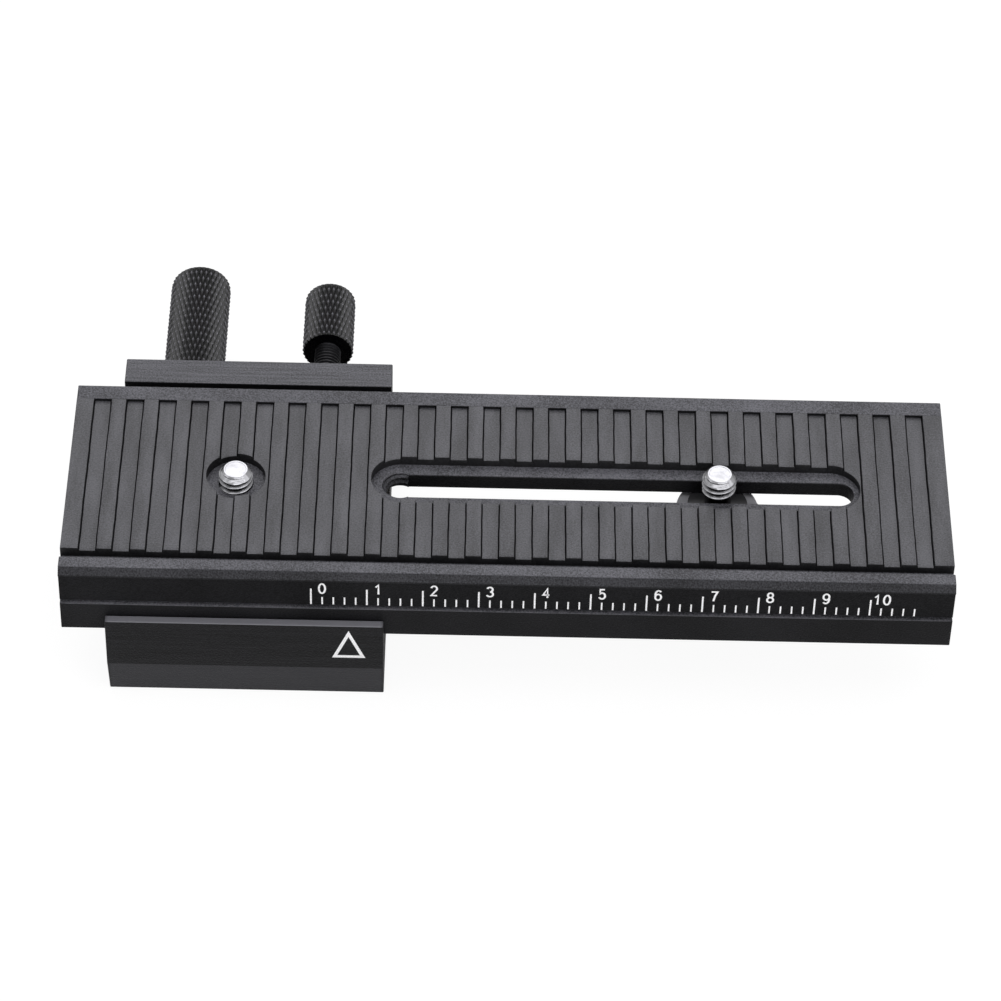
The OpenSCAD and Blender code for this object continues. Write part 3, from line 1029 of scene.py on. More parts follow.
@dataclass
class RailBody:
    """The rail: its extruded channel with the slot and screw hole, the ribbed rubber
    pad in its top, the scale strip with its print, and the rack below.

    Its sizes are places in the object's frame, in millimetres, unless their name says
    a length (_l), a radius (_r), a width (_w) or a depth (_d). A rib's corner is given
    by place and depth. A wave in a rib's side is given by its height, its length per
    radian, and how many times it shifts by phase_turn from one side to the next. A
    tapped thread's crest is a tent flank_peak high whose sides fall by flank_slope in
    a pitch, cut off flat at 1, and thread_gap is how far its root stands off the wall.
    """

    left: float = -33.0
    length: float = 160.0
    half: float = 24.0
    foot: float = 16.4
    top: float = 31.0
    plate_top: float = 29.0
    plate_foot: float = 25.9
    chamfer: float = 1.25
    lip_back: float = -20.3
    pad_front: float = -18.2
    pad_back: float = 20.5
    strip_top: float = 29.55
    strip_back: float = -22.8
    strip_face: float = -23.6
    flange_top: float = 22.7
    hold_y: float = -17.2
    hold_top: float = 18.9
    inner: float = 20.0
    rack_y: float = 13.8
    boss_foot: float = 20.4
    rack_foot: float = 15.98
    tooth_chamfer: float = 0.6
    vee_z: float = 19.5
    vee_d: float = 1.8
    screw_y: float = 1.3
    left_x: float = -2.6
    entry_x: float = 27.3
    slot_end: float = 107.2
    thread_r: float = 3.175
    slot_r: float = 2.8
    pad_slot: Cut = Cut(27.5, 105.6, 5.5)
    pad_hole_r: float = 5.4
    rib_pitch: float = 6.0
    first_rib: float = 3.23
    recess_w: float = 3.2
    recess_d: float = 0.6
    seam_w: float = 0.2
    seam_d: float = 0.3
    rib_corner: tuple[tuple[float, float], ...] = (
        (-0.16, 0.0),
        (-0.09, 0.03),
        (-0.05, 0.1),
    )
    phase_turn: float = 2.399
    waves: tuple[tuple[float, float, float], ...] = (
        (0.025, 2.9, 1.0),
        (0.018, 0.8, 1.7),
    )
    edge_w: float = 0.14
    slot_edge_w: float = 0.12
    pad_edge_w: float = 0.1
    edge_bend: float = 0.3
    thread_d: float = 0.58
    thread_sunk: float = 0.12
    thread_gap: float = 0.015
    flank_peak: float = 1.35
    flank_slope: float = 3.2
    zero_x: float = 12.0
    scale_l: float = 108.0
    step: float = 2.0
    numbered: float = 10.0
    tick_foot: float = 23.45
    tick_top: tuple[float, float] = (27.4, 25.3)
    tick_w: tuple[float, float] = (0.31, 0.28)
    number_shift: float = 2.0
    number_foot: float = 26.1

    @property
    def right(self) -> float:
        """The rail's right end."""
        return self.left + self.length

    def build(self) -> None:
        """Builds and dresses every piece of the rail."""
        self.extrusion()
        self.pad()
        self.tapped(self.entry_x, self.plate_foot, self.plate_top, open_side=True)
        self.tapped(self.left_x, self.plate_foot, self.plate_foot + 2, open_side=False)
        self.ticks()
        self.numerals()
        eased_copy(
            "scale_strip", "scale_strip_eased", SCALE_SKIN, Body.RAIL, self.slot_edge_w
        )
        self.rack_with_chamfer()
        finish_node("rack_screws", STEEL)
        finish_node("stop_screws", STEEL)

    def extrusion(self) -> None:
        """The channel. Its section in Y and Z is carried along X; where the plate is
        cut, the section opens by half the cut's width on each side of the screw line.
        """
        cuts = [
            Cut(self.left_x, self.left_x, self.thread_r),
            Cut(self.entry_x, self.entry_x, self.thread_r),
            Cut(self.entry_x, self.slot_end, self.slot_r),
        ]
        reach = math.sqrt(self.thread_r**2 - self.slot_r**2)
        turn = steps(0, math.pi / 2, 20)
        places = [
            [self.left, self.right, self.entry_x + reach],
            cuts[0].stations(),
            self.entry_x - self.thread_r * np.cos(turn),
            self.entry_x + reach * steps(0, 1, 5),
            self.slot_end + self.slot_r * np.sin(turn),
        ]
        x = np.unique(np.round(np.concatenate(places), 6))
        gap = outline_of_cuts(cuts, x)
        h = self.half
        front = [
            (self.lip_back, self.plate_top),
            (self.lip_back, self.top),
            (-h + self.chamfer, self.top),
            (-h, self.top - self.chamfer),
            (-h, self.strip_top),
            (self.strip_back, self.strip_top),
            (self.strip_back, self.flange_top),
            (-h, self.flange_top),
            (-h, self.foot),
            (self.hold_y, self.foot),
            (self.hold_y, self.hold_top),
            (-self.inner, self.hold_top),
            (-self.inner, self.plate_foot),
        ]
        back = [
            (self.rack_y, self.plate_foot),
            (self.rack_y, self.boss_foot),
            (self.inner, self.boss_foot),
            (self.inner, self.foot),
            (h, self.foot),
            (h, self.vee_z - self.vee_d),
            (h - self.vee_d, self.vee_z),
            (h, self.vee_z + self.vee_d),
            (h, self.top),
            (self.pad_back, self.top),
            (self.pad_back, self.plate_top),
        ]
        shell = Shell()
        soft = np.minimum(self.slot_edge_w, gap / 2)
        whole = (gap == 0).astype(float)
        for side, fixed, first, last in (
            (-1, front, self.plate_top, self.plate_foot),
            (1, back, self.plate_foot, self.plate_top),
        ):
            edge = self.screw_y + side * gap
            inward = np.sign(last - first)
            still = np.broadcast_to(np.array(fixed), (len(x), len(fixed), 2))
            opening = [(edge, first + inward * soft), (edge + side * soft, first)]
            closing = [(edge + side * soft, last), (edge, last - inward * soft)]
            ends = [
                np.stack(
                    [np.stack(np.broadcast_arrays(y, z), -1) for y, z in pair], 1
                )
                for pair in (opening, closing)
            ]
            loop = np.concatenate([ends[0], still, ends[1]], 1)
            tag = np.ones(loop.shape[:2])
            tag[:, [0, 1, -2, -1]] = whole[:, None]
            sections_to_shell(shell, x, loop, gap, loop.shape[1] - 1, tag)
        stand(
            "rail_extrusion",
            shell.mesh("rail_extrusion", "ease"),
            BLASTED,
            Body.RAIL,
            ["rail_profile"],
            ease=self.edge_w,
        )

    def rib_profile(self) -> tuple[Array, Array, Array]:
        """The pad's top along X: flat ribs and recesses joined by steep sides. A side's
        upper corner is rounded, and a narrow V runs along its foot.

        Returns:
            x, z and the number of the rib side that each point belongs to, or -1.
        """
        count = int((self.length - self.first_rib) // self.rib_pitch)
        start = self.left + self.first_rib + self.rib_pitch * np.arange(count)
        low = self.top - self.recess_d
        corner_x, corner_d = np.array(self.rib_corner).T
        down_x = np.concatenate([corner_x, [0.0, self.seam_w]])
        down_z = np.concatenate([self.top - corner_d, [low - self.seam_d, low]])
        fall = start[:, None] + down_x
        rise = start[:, None] + self.recess_w - down_x[::-1]
        x = np.concatenate([fall, rise], 1).reshape(-1)
        z = np.tile(np.concatenate([down_z, down_z[::-1]]), count)
        side = np.repeat(np.arange(2 * count), len(down_x))
        ends_x = np.array([self.left, self.right])
        x = np.concatenate([ends_x[:1], x, ends_x[1:]])
        z = np.concatenate([[self.top], z, [self.top]])
        side = np.concatenate([[-1], side, [-1]])
        return x, z, side

    def pad(self) -> None:
        """The ribbed pad. Each station along X has a closed section in Y and Z whose
        top follows the rib profile, and the ribs' sides waver by a few hundredths of a
        millimetre, as moulded rubber does.
        """
        cuts = [Cut(self.left_x, self.left_x, self.pad_hole_r), self.pad_slot]
        ribs_x, ribs_z, ribs_side = self.rib_profile()
        extra = np.concatenate([cut.stations(26) for cut in cuts])
        extra = extra[np.abs(extra[:, None] - ribs_x).min(1) > 0.1]
        order = np.argsort(np.concatenate([ribs_x, extra]), kind="stable")
        x = np.concatenate([ribs_x, extra])[order]
        z = np.concatenate([ribs_z, np.interp(extra, ribs_x, ribs_z)])[order]
        side = np.concatenate([ribs_side, np.full(len(extra), -1)])[order]
        gap = outline_of_cuts(cuts, x)
        shell = Shell()
        for sign, outer, ease in (
            (-1, self.pad_front, self.edge_w),
            (1, self.pad_back, 0.0),
        ):
            loop = self.pad_half(x, z, side, gap, sign, outer, ease)
            sections_to_shell(shell, x, loop, gap, 0)
        stand("ribbed_pad", shell.mesh("ribbed_pad"), RUBBER, Body.RAIL, ["grip_pad"])

    def pad_half(
        self,
        x: Array,
        z: Array,
        side: Array,
        gap: Array,
        sign: int,
        outer: float,
        ease: float,
    ) -> Array:
        """One half of the pad, from its cut-outs to its outer edge. Each edge is
        rounded by a corner cut twice, which bends at the share edge_bend of its width.

        Args:
            x, z, side: the rib profile, as rib_profile gives it.
            gap: half the cut-out's width at each station.
            sign: -1 for the front half, 1 for the back half.
            outer: y of the outer edge.
            ease: rounding of the outer edge.

        Returns:
            Points of shape (stations, loop, 3). The loop starts at the foot of the cut
            and its first quad column is the cut's wall.
        """
        inner = self.screw_y + sign * gap
        soft, bend = np.minimum(self.pad_edge_w, gap / 2), self.edge_bend
        share = steps(0, 1, 22)
        near = inner + sign * soft
        far = outer - sign * ease
        row_y = near[:, None] + (far - near)[:, None] * share
        row_z = np.broadcast_to(z[:, None], row_y.shape)
        full = np.ones_like(x)
        y = np.hstack(
            [
                np.stack([inner, inner, inner + sign * bend * soft], 1),
                row_y,
                full[:, None] * [outer - sign * bend * ease, outer, outer],
            ]
        )
        zs = np.hstack(
            [
                np.stack([full * self.plate_top, z - soft, z - bend * soft], 1),
                row_z,
                np.stack([z - bend * ease, z - ease, full * self.plate_top], 1),
            ]
        )
        phase = side[:, None] * self.phase_turn
        waver = sum(
            high * np.sin(y / long + shift * phase) for high, long, shift in self.waves
        )
        xs = x[:, None] + np.where(side[:, None] >= 0, waver, 0.0)
        return np.stack([xs, y, zs], -1)

    def tapped(self, centre: float, foot: float, top: float, open_side: bool) -> None:
        """The tapped thread in a hole of the plate: its crests follow a helix inwards
        from the hole's wall, and its back is sunk in the wall.

        Args:
            centre: x of the hole.
            foot, top: z of the thread's ends.
            open_side: leaves out the arc where the slot starts.
        """
        pitch = CAMERA_PITCH
        away = math.acos(math.sqrt(self.thread_r**2 - self.slot_r**2) / self.thread_r)
        low, high = (away, TAU - away) if open_side else (0.0, TAU)
        turn = steps(low, high, 72)
        rise = steps(foot, top, 40)
        share = (rise[:, None] / pitch + turn[None] / TAU) % 1
        crest = np.clip(self.flank_peak - np.abs(share - 0.5) * self.flank_slope, 0, 1)
        room = np.minimum(rise - foot, top - rise)[:, None]
        inward = np.minimum(self.thread_d * crest, room)
        radius = self.thread_r - self.thread_gap - inward
        wall = np.full((len(rise), 1), self.thread_r + self.thread_sunk)

        def ring(r: Array, z: Array) -> Array:
            """Points at radius r and height z round the hole."""
            return np.stack(
                [
                    centre + r * np.cos(turn),
                    self.screw_y + r * np.sin(turn),
                    np.broadcast_to(z, r.shape),
                ],
                -1,
            )

        inner = ring(radius, rise[:, None])
        outer = ring(np.broadcast_to(wall, radius.shape), rise[:, None])
        shell = Shell()
        shell.grid(inner)
        shell.grid(outer)
        shell.grid(np.stack([inner[0], outer[0]]))
        shell.grid(np.stack([inner[-1], outer[-1]]))
        if open_side:
            shell.grid(np.stack([inner[:, 0], outer[:, 0]]))
            shell.grid(np.stack([inner[:, -1], outer[:, -1]]))
        name = "slot_entry_thread" if open_side else "screw_hole_thread"
        stand(name, shell.mesh(name), BLASTED, Body.RAIL)

    def rack_with_chamfer(self) -> None:
        """The rack, with the front ends of its teeth chamfered: a plane at 45 degrees
        cuts each tooth's lower front edge off.
        """
        low = Vector((0, self.rack_y * MM, (self.rack_foot + self.tooth_chamfer) * MM))
        mesh = merged_copy("rack", "rack_chamfered")
        work = bmesh.new()
        work.from_mesh(mesh)
        bmesh.ops.bisect_plane(
            work,
            geom=work.verts[:] + work.edges[:] + work.faces[:],
            dist=NO_EDGE,
            plane_co=low,
            plane_no=Vector((0, -1, -1)).normalized(),
            clear_outer=True,
        )
        bmesh.ops.holes_fill(work, edges=work.edges[:], sides=0)
        bmesh.ops.recalc_face_normals(work, faces=work.faces)
        work.to_mesh(mesh)
        work.free()
        shade(mesh, HARD_FROM)
        stand("rack_chamfered", mesh, BRASS, Body.RAIL, ["rack"])

    def ticks(self) -> None:
        """The scale's lines: thin boxes of ink, long at every tenth millimetre and
        short at every second one.
        """
        place = np.arange(0, self.scale_l + self.step / 2, self.step)
        long = place % self.numbered == 0
        low = self.tick_foot
        high = np.where(long, *self.tick_top)
        half = np.where(long, *self.tick_w) / 2
        x = self.zero_x + place
        shell = Shell()
        corner_x = np.array([-1, 1, 1, -1])
        corner_z = np.array([0, 0, 1, 1])
        px = x[:, None] + corner_x * half[:, None]
        pz = low + corner_z * (high - low)[:, None]
        self.print_blocks(shell, px, pz, self.strip_face)
        stand("scale_lines", shell.mesh("scale_lines"), INK, Body.RAIL)

    @staticmethod
    def print_blocks(shell: Shell, px: Array, pz: Array, face: float) -> None:
        """Adds ink blocks that stand a little proud of a face towards -Y.

        Args:
            shell: where they go.
            px, pz: outlines, shape (blocks, corners).
            face: y of the face that carries them.
        """
        front = np.stack([px, np.full_like(px, face - INK_PROUD), pz], -1)
        rear = np.stack([px, np.full_like(px, face + INK_SUNK), pz], -1)
        numbers = shell.take(np.stack([front, rear], 1))
        head, foot = numbers[:, 0], numbers[:, 1]
        sides = np.stack(
            [head, np.roll(head, -1, 1), np.roll(foot, -1, 1), foot], -1
        ).reshape(-1, 4)
        shell.faces.extend(head.tolist() + foot[:, ::-1].tolist() + sides.tolist())

    def numerals(self) -> None:
        """The scale's plain numbers, each with its middle a little to the right of its
        long line, built from flat strokes of constant width.
        """
        shell = Shell()
        for number in range(int(self.scale_l // self.numbered) + 1):
            text = str(number)
            wide = DIGITS.width + DIGITS.advance * (len(text) - 1)
            middle = self.zero_x + self.numbered * number + self.number_shift
            x = middle - wide / 2
            for digit in text:
                DIGITS.draw(shell, digit, x, self.number_foot, self.strip_face)
                x += DIGITS.advance
        stand("scale_numbers", shell.mesh("scale_numbers"), INK, Body.RAIL)


@dataclass(frozen=True)
class Digits:
    """Plain digits as flat ink, each a path carried by a stroke of constant width.

    Where two strokes of a digit cross, each later one stands a hair prouder.
    """

    height: float = 2.75
    width: float = 1.45
    stroke: float = 0.36
    advance: float = 1.72
    layer_step: float = 0.002
    sharpest_mitre: float = 0.6

    def path(self, digit: str) -> list[tuple[Array, bool]]:
        """Centre lines of a digit in a box 1 wide and 1 high.

        Args:
            digit: one character from 0 to 9.

        Returns:
            Each line as points of shape (n, 2) and whether it is closed.
        """

        def oval(
            cx: float, cy: float, rx: float, ry: float, low: float, high: float
        ) -> Array:
            """Part of an ellipse from low to high, in degrees, anticlockwise."""
            turn = np.radians(steps(low, high, max(8, int(abs(high - low) / 8))))
            return np.stack([cx + rx * np.cos(turn), cy + ry * np.sin(turn)], -1)

        def join(*parts: Union[Array, Sequence]) -> Array:
            """One line through all the parts."""
            return np.vstack([np.asarray(p, float).reshape(-1, 2) for p in parts])

        shapes = {
            "0": [(oval(0.5, 0.5, 0.5, 0.5, 0, 352), True)],
            "1": [(join([(0.12, 0.74), (0.56, 1.0), (0.56, 0.0)]), False)],
            "2": [
                (
                    join(
                        oval(0.5, 0.73, 0.47, 0.27, 165, -28),
                        [(0.03, 0.0), (1.0, 0.0)],
                    ),
                    False,
                )
            ],
            "3": [
                (oval(0.47, 0.755, 0.44, 0.245, 160, -88), False),
                (oval(0.47, 0.255, 0.51, 0.255, 88, -160), False),
            ],
            "4": [
                (join([(0.72, 0.0), (0.72, 1.0), (0.0, 0.3), (1.02, 0.3)]), False),
            ],
            "5": [
                (
                    join(
                        [(0.9, 1.0), (0.2, 1.0), (0.1, 0.5)],
                        oval(0.48, 0.32, 0.5, 0.32, 125, -155),
                    ),
                    False,
                )
            ],
            "6": [
                (oval(0.5, 0.31, 0.48, 0.31, 0, 352), True),
                (join(oval(0.55, 0.56, 0.53, 0.44, 45, 190)), False),
            ],
            "7": [
                (join([(0.0, 1.0), (1.0, 1.0)], [(0.62, 0.56), (0.4, 0.0)]), False),
            ],
            "8": [
                (oval(0.5, 0.755, 0.42, 0.245, 0, 352), True),
                (oval(0.5, 0.255, 0.5, 0.255, 0, 352), True),
            ],
            "9": [
                (oval(0.5, 0.69, 0.48, 0.31, 0, 352), True),
                (join(oval(0.45, 0.44, 0.53, 0.44, -135, 10)), False),
            ],
        }
        return shapes[digit]

    def draw(self, shell: Shell, digit: str, x: float, z: float, face: float) -> None:
        """Adds one digit as ink, its lower left corner at x and z on a face.

        Args:
            shell: where it goes.
            digit: the character.
            x, z: the corner, in millimetres.
            face: y of the face that carries it.
        """
        half = self.stroke / 2
        size = np.array([self.width - self.stroke, self.height - self.stroke])
        for layer, (line, closed) in enumerate(self.path(digit)):
            points = line * size + half + np.array([x, z])
            into = points - np.roll(points, 1, 0)
            out = np.roll(points, -1, 0) - points
            if not closed:
                into[0], out[-1] = out[0], into[-1]
            into /= np.linalg.norm(into, axis=1, keepdims=True)
            out /= np.linalg.norm(out, axis=1, keepdims=True)
            side = np.stack([-(into + out)[:, 1], (into + out)[:, 0]], -1)
            side /= np.linalg.norm(side, axis=1, keepdims=True)
            normal = np.stack([-into[:, 1], into[:, 0]], -1)
            mitre = np.sum(side * normal, 1, keepdims=True)
            mitre = np.clip(mitre, self.sharpest_mitre, 1)
            left, right = points + side * half / mitre, points - side * half / mitre
            proud = face - INK_PROUD - self.layer_step * layer
            rings = [
                (left, proud),
                (right, proud),
                (right, face + INK_SUNK),
                (left, face + INK_SUNK),
            ]
            loop = np.stack(
                [
                    np.stack([p[:, 0], np.full(len(p), y), p[:, 1]], -1)
                    for p, y in rings
                ],
                1,
            )
            if closed:
                loop = np.concatenate([loop, loop[:1]], 0)
            shell.grid(loop, wrap=True)
            if not closed:
                shell.cap(loop[0])
                shell.cap(loop[-1])


DIGITS = Digits()


# --------------------------------------------------------------- turned work


def around(
    axis: Axis, centre: Sequence[float], radius: Array, along: Array, turn: Array
) -> Array:
    """Points at a radius round an axis.

    Args:
        axis: the axis's direction.
        centre: the axis's place: x and z for Y, x and y for Z.
        radius, along, turn: arrays of one shape: distance from the axis, place along
            it, and angle in radians.

    Returns:
        Points with one more dimension of size 3.
    """
    a, b = centre[0] + radius * np.cos(turn), centre[1] + radius * np.sin(turn)
    if axis is Axis.Y:
        return np.stack([a, along, b], -1)
    return np.stack([a, b, along], -1)


def lathe(
    shell: Shell,
    axis: Axis,
    centre: Sequence[float],
    profile: Sequence[tuple[float, float]],
    count: int,
) -> None:
    """Adds a turned surface.

    Args:
        shell: where it goes.
        axis, centre: its axis, as around takes them.
        profile: radius and place along the axis of each point of its outline.
        count: points round one turn.
    """
    line = np.asarray(profile, float)
    turn = np.arange(count) / count * TAU
    radius = np.repeat(line[:, :1], count, 1)
    along = np.repeat(line[:, 1:], count, 1)
    shell.grid(
        around(axis, centre, radius, along, np.broadcast_to(turn, radius.shape)),
        wrap=True,
    )


@dataclass(frozen=True)
class Thread:
    """A screw thread with sixty degree flanks, flat crests and flat roots.

    The depth, the flat root and the sloping flank are shares of the pitch, the last two
    of half of it.
    """

    radius: float
    pitch: float
    depth_share: float = 0.58
    flat_share: float = 0.16
    flank_share: float = 0.66
    rows_per_pitch: int = 18

    def height(self, along: Array, turn: Array) -> Array:
        """The thread's own form: highest where the place along the axis, less the
        turn's share of a pitch, falls on a crest, and sloping evenly to the root.

        Args:
            along: place along the axis.
            turn: angle in radians.

        Returns:
            The radius there.
        """
        share = np.abs((along / self.pitch - turn / TAU) % 1 - 0.5) * 2
        crest = np.clip((share - self.flat_share) / self.flank_share, 0, 1)
        return self.radius - self.depth_share * self.pitch * (1 - crest)

    def cut(
        self,
        shell: Shell,
        axis: Axis,
        centre: Sequence[float],
        low: float,
        high: float,
        limit: Sequence[tuple[float, float]],
        count: int = 96,
    ) -> None:
        """Adds the thread from low to high, on a grid that climbs with the helix, so
        that its crests are clean lines.

        Args:
            shell: where it goes.
            axis, centre: the screw's axis.
            low, high: the thread's ends.
            limit: places along the axis and the largest radius there.
            count: points round one turn.
        """
        per = self.rows_per_pitch
        turn = steps(0, TAU, count)
        rows = np.arange(-per, int((high - low) / self.pitch * per) + per + 1)
        along = low + (rows[:, None] / per + turn[None] / TAU) * self.pitch
        along = np.clip(along, low, high)
        turn = np.broadcast_to(turn, along.shape)
        marks = np.asarray(limit, float)
        top = np.interp(along, marks[:, 0], marks[:, 1])
        radius = np.minimum(self.height(along, turn), top)
        shell.grid(around(axis, centre, radius, along, turn))


@dataclass
class Knob:
    """A round knob with a rolled diamond knurl and chamfered ends."""

    name: str
    node: str
    body: Body
    centre: tuple[float, float]
    start: float
    length: float
    radius: float
    teeth: int
    near_chamfer: float = 0.3
    far_chamfer: float = 0.35
    lead: float = 3.5
    depth: float = 0.42
    tip_cut: float = 0.93
    per_tooth: int = 8
    knurl_from: float = 0.1
    end_dish: float = 0.3
    hard_from: float = 20.0

    def build(self) -> None:
        """Builds the knob. Two families of helical grooves cross; the height at a point
        is the lower of the two grooves' flanks, cut off flat near its top. A step
        along the grid is an eighth of a tooth both ways, so that every groove and ridge
        runs along the quads' diagonals, and each quad is split along its own.
        """
        cells = self.per_tooth * self.teeth
        step = self.lead / self.per_tooth
        turn = np.arange(cells) / cells * TAU
        near = steps(0, self.near_chamfer, 4)
        rows = int((self.length - self.near_chamfer - self.far_chamfer) / step)
        body = self.near_chamfer + self.knurl_from + step * np.arange(rows)
        far = self.length - np.array([self.far_chamfer, self.far_chamfer / 2, 0.0])
        along = np.concatenate([near, body, far])
        climb = (along - body[0])[:, None] / self.lead
        pair = np.arange(cells)[None] / self.per_tooth
        first = 1 - np.abs((pair + climb) % 1 - 0.5) * 2
        second = 1 - np.abs((pair - climb) % 1 - 0.5) * 2
        height = np.clip(np.minimum(first, second) / self.tip_cut, 0, 1)
        knurled = self.radius - self.depth * (1 - height)
        cone = np.minimum(
            self.radius - self.near_chamfer + along,
            self.radius - self.far_chamfer + self.length - along,
        )[:, None]
        radius = np.minimum(knurled, cone)
        # Tags for the paler tips, partly wear and partly painted glints; none where the
        # near chamfer cuts them.
        wear_and_glint_tag = np.where(knurled <= cone, height, 0.0)
        wear_and_glint_tag = np.where(along[:, None] > self.length / 2, height, wear_and_glint_tag)
        place = np.broadcast_to((self.start + along)[:, None], radius.shape)
        around_all = np.broadcast_to(turn, radius.shape)
        shell = Shell()
        points = around(Axis.Y, self.centre, radius, place, around_all)
        numbers = shell.take(points, wear_and_glint_tag)
        spread = np.hstack([numbers, numbers[:, :1]])
        quads = np.stack(
            [spread[:-1, :-1], spread[:-1, 1:], spread[1:, 1:], spread[1:, :-1]], -1
        )
        row, column = np.indices(quads.shape[:2])
        half = self.per_tooth // 2
        falling = (row - len(near) + column + 1) % half == 0
        shell.faces.extend(quads[falling][:, [0, 1, 3]].tolist())
        shell.faces.extend(quads[falling][:, [1, 2, 3]].tolist())
        shell.faces.extend(quads[~falling][:, [0, 1, 2]].tolist())
        shell.faces.extend(quads[~falling][:, [0, 2, 3]].tolist())
        for edge, y, way in (
            (radius[0], self.start, 0.0),
            (radius[-1], self.start + self.length, -self.end_dish),
        ):
            share = np.array([1.0, 0.92, 0.8, 0.5, 0.2, 0.0])[:, None]
            dish = np.array([0.0, 0.0, 1.0, 1.0, 1.0, 1.0])[:, None] * way
            rings = edge * share
            turns = np.broadcast_to(turn, rings.shape)
            level = np.broadcast_to(y + dish, rings.shape)
            end = around(Axis.Y, self.centre, rings, level, turns)
            shell.grid(end, wrap=True)
        mesh = shell.mesh(self.name, "knurl", self.hard_from)
        stand(self.name, mesh, KNURL, self.body, [self.node])


@dataclass
class FocusDrive:
    """The long focusing knob, with its shaft, pinion and fittings."""

    x: float = -13.5
    z: float = 12.8
    knob_y: float = 36.25
    knob_l: float = 35.3
    knob_r: float = 5.85
    teeth: int = 37

    def build(self) -> None:
        """Builds the knob and dresses the drive's other parts."""
        Knob(
            "focus_knob_knurled",
            "focus_knob",
            Body.FOCUS,
            (self.x, self.z),
            self.knob_y,
            self.knob_l,
            self.knob_r,
            self.teeth,
        ).build()
        finish_node("focus_shaft", STEEL)
        finish_node("pinion", BRASS)
        finish_node("pinion_pin", STEEL)
        finish_node("shaft_clip", STEEL)
        finish_node("focus_grub", BLACK_OXIDE)


@dataclass
class LockDrive:
    """The lock knob on its long black screw."""

    x: float = 12.3
    z: float = 19.5
    knob_y: float = 46.7
    knob_l: float = 14.4
    knob_r: float = 4.9
    teeth: int = 31
    thread: Thread = Thread(2.5, 0.8)
    tip_from: float = 26.25
    tip_to: float = 28.05
    tip_r: float = 1.7
    neck_r: float = 1.2
    thread_from: float = 28.65
    thread_to: float = 57.0
    lead_in: float = 0.5
    tip_edge: float = 0.2

    def build(self) -> None:
        """Builds the knob and the screw."""
        Knob(
            "lock_knob_knurled",
            "lock_knob",
            Body.LOCK,
            (self.x, self.z),
            self.knob_y,
            self.knob_l,
            self.knob_r,
            self.teeth,
        ).build()
        shell = Shell()
        centre = (self.x, self.z)
        root = self.thread.radius - self.thread.pitch * self.thread.depth_share
        self.thread.cut(
            shell,
            Axis.Y,
            centre,
            self.thread_from,
            self.thread_to,
            [
                (self.thread_from, root),
                (self.thread_from + self.lead_in, self.thread.radius),
                (self.thread_to - self.lead_in, self.thread.radius),
                (self.thread_to, root),
            ],
        )
        lathe(
            shell,
            Axis.Y,
            centre,
            [
                (0, self.tip_from),
                (self.tip_r - self.tip_edge, self.tip_from),
                (self.tip_r, self.tip_from + self.tip_edge),
                (self.tip_r, self.tip_to),
                (self.neck_r, self.tip_to),
                (self.neck_r, self.thread_from),
                (root, self.thread_from),
            ],
            96,
        )
        lathe(shell, Axis.Y, centre, [(root, self.thread_to), (0, self.thread_to)], 96)
        mesh = shell.mesh("lock_screw_threaded")
        stand("lock_screw_threaded", mesh, BLACK_OXIDE, Body.LOCK, ["lock_screw"])
        finish_node("lock_grub", BLACK_OXIDE)


@dataclass
class CameraScrew:
    """A captive camera screw: plated stem, black head, washer and folding ring."""

    prefix: str
    body: Body
    x: float
    head_top: float
    y: float = 1.3
    neck_l: float = 4.3
    thread_l: float = 4.4
    neck_r: float = 2.4
    face_r: float = 2.15
    cone: float = 0.95
    lead_in: float = 0.7
    shoulder: tuple[float, float] = (0.12, 0.06)
    rim: float = 0.1
    stem_sunk: float = 1.3
    centre_drop: float = 0.05
    thread: Thread = Thread(3.1, CAMERA_PITCH, 0.56)

    def build(self) -> None:
        """Builds the stem and dresses the rest."""
        # Bright nickel plate on turned steel: a mirror drawn into arcs by the cutter's
        # rings, with painted shade in the thread's roots.
        plate = TurnedMetal(
            f"nickel_plate_{self.prefix}",
            Slot.NICKEL,
            "#868689",
            "#a0a0a3",
            roughness=0.1,
            metallic=1.0,
            grain=1.6,
            drift_share=0.4,
            rough_span=0.05,
            depth=0.0,
            centre=(self.x, self.y),
            thread_top=self.head_top + self.neck_l + self.thread_l - self.cone,
        )
        shell = Shell()
        centre = (self.x, self.y)
        foot = self.head_top + self.neck_l
        top = foot + self.thread_l
        root = self.head_top - self.stem_sunk
        before, lower = self.shoulder
        limit = [
            (foot, self.neck_r),
            (foot + self.lead_in, self.thread.radius),
            (top - self.cone - before, self.thread.radius),
            (top - self.cone, self.thread.radius - lower),
            (top - self.rim, self.face_r + self.rim),
            (top, self.face_r),
        ]
        self.thread.cut(shell, Axis.Z, centre, foot, top, limit, 128)
        neck = [(0, root), (self.neck_r, root), (self.neck_r, foot)]
        lathe(shell, Axis.Z, centre, neck, 128)
        low = top - self.centre_drop
        crown = [(self.face_r * share, top) for share in (1, 0.95, 0.9, 0.88)]
        crown += [(self.face_r * share, low) for share in (0.86, 0.5, 0.2, 0)]
        lathe(shell, Axis.Z, centre, crown, 128)
        name = f"{self.prefix}_stem_threaded"
        stand(name, shell.mesh(name), plate, self.body, [f"{self.prefix}_stem"])
        head = f"{self.prefix}_head"
        eased_copy(head, f"{head}_eased", HEAD_SKIN, self.body, ease=0.2)
        finish_node(f"{self.prefix}_washer", NYLON)
        finish_node(f"{self.prefix}_ring", BLACK_OXIDE)


# ----------------------------------------------------------------- carriage


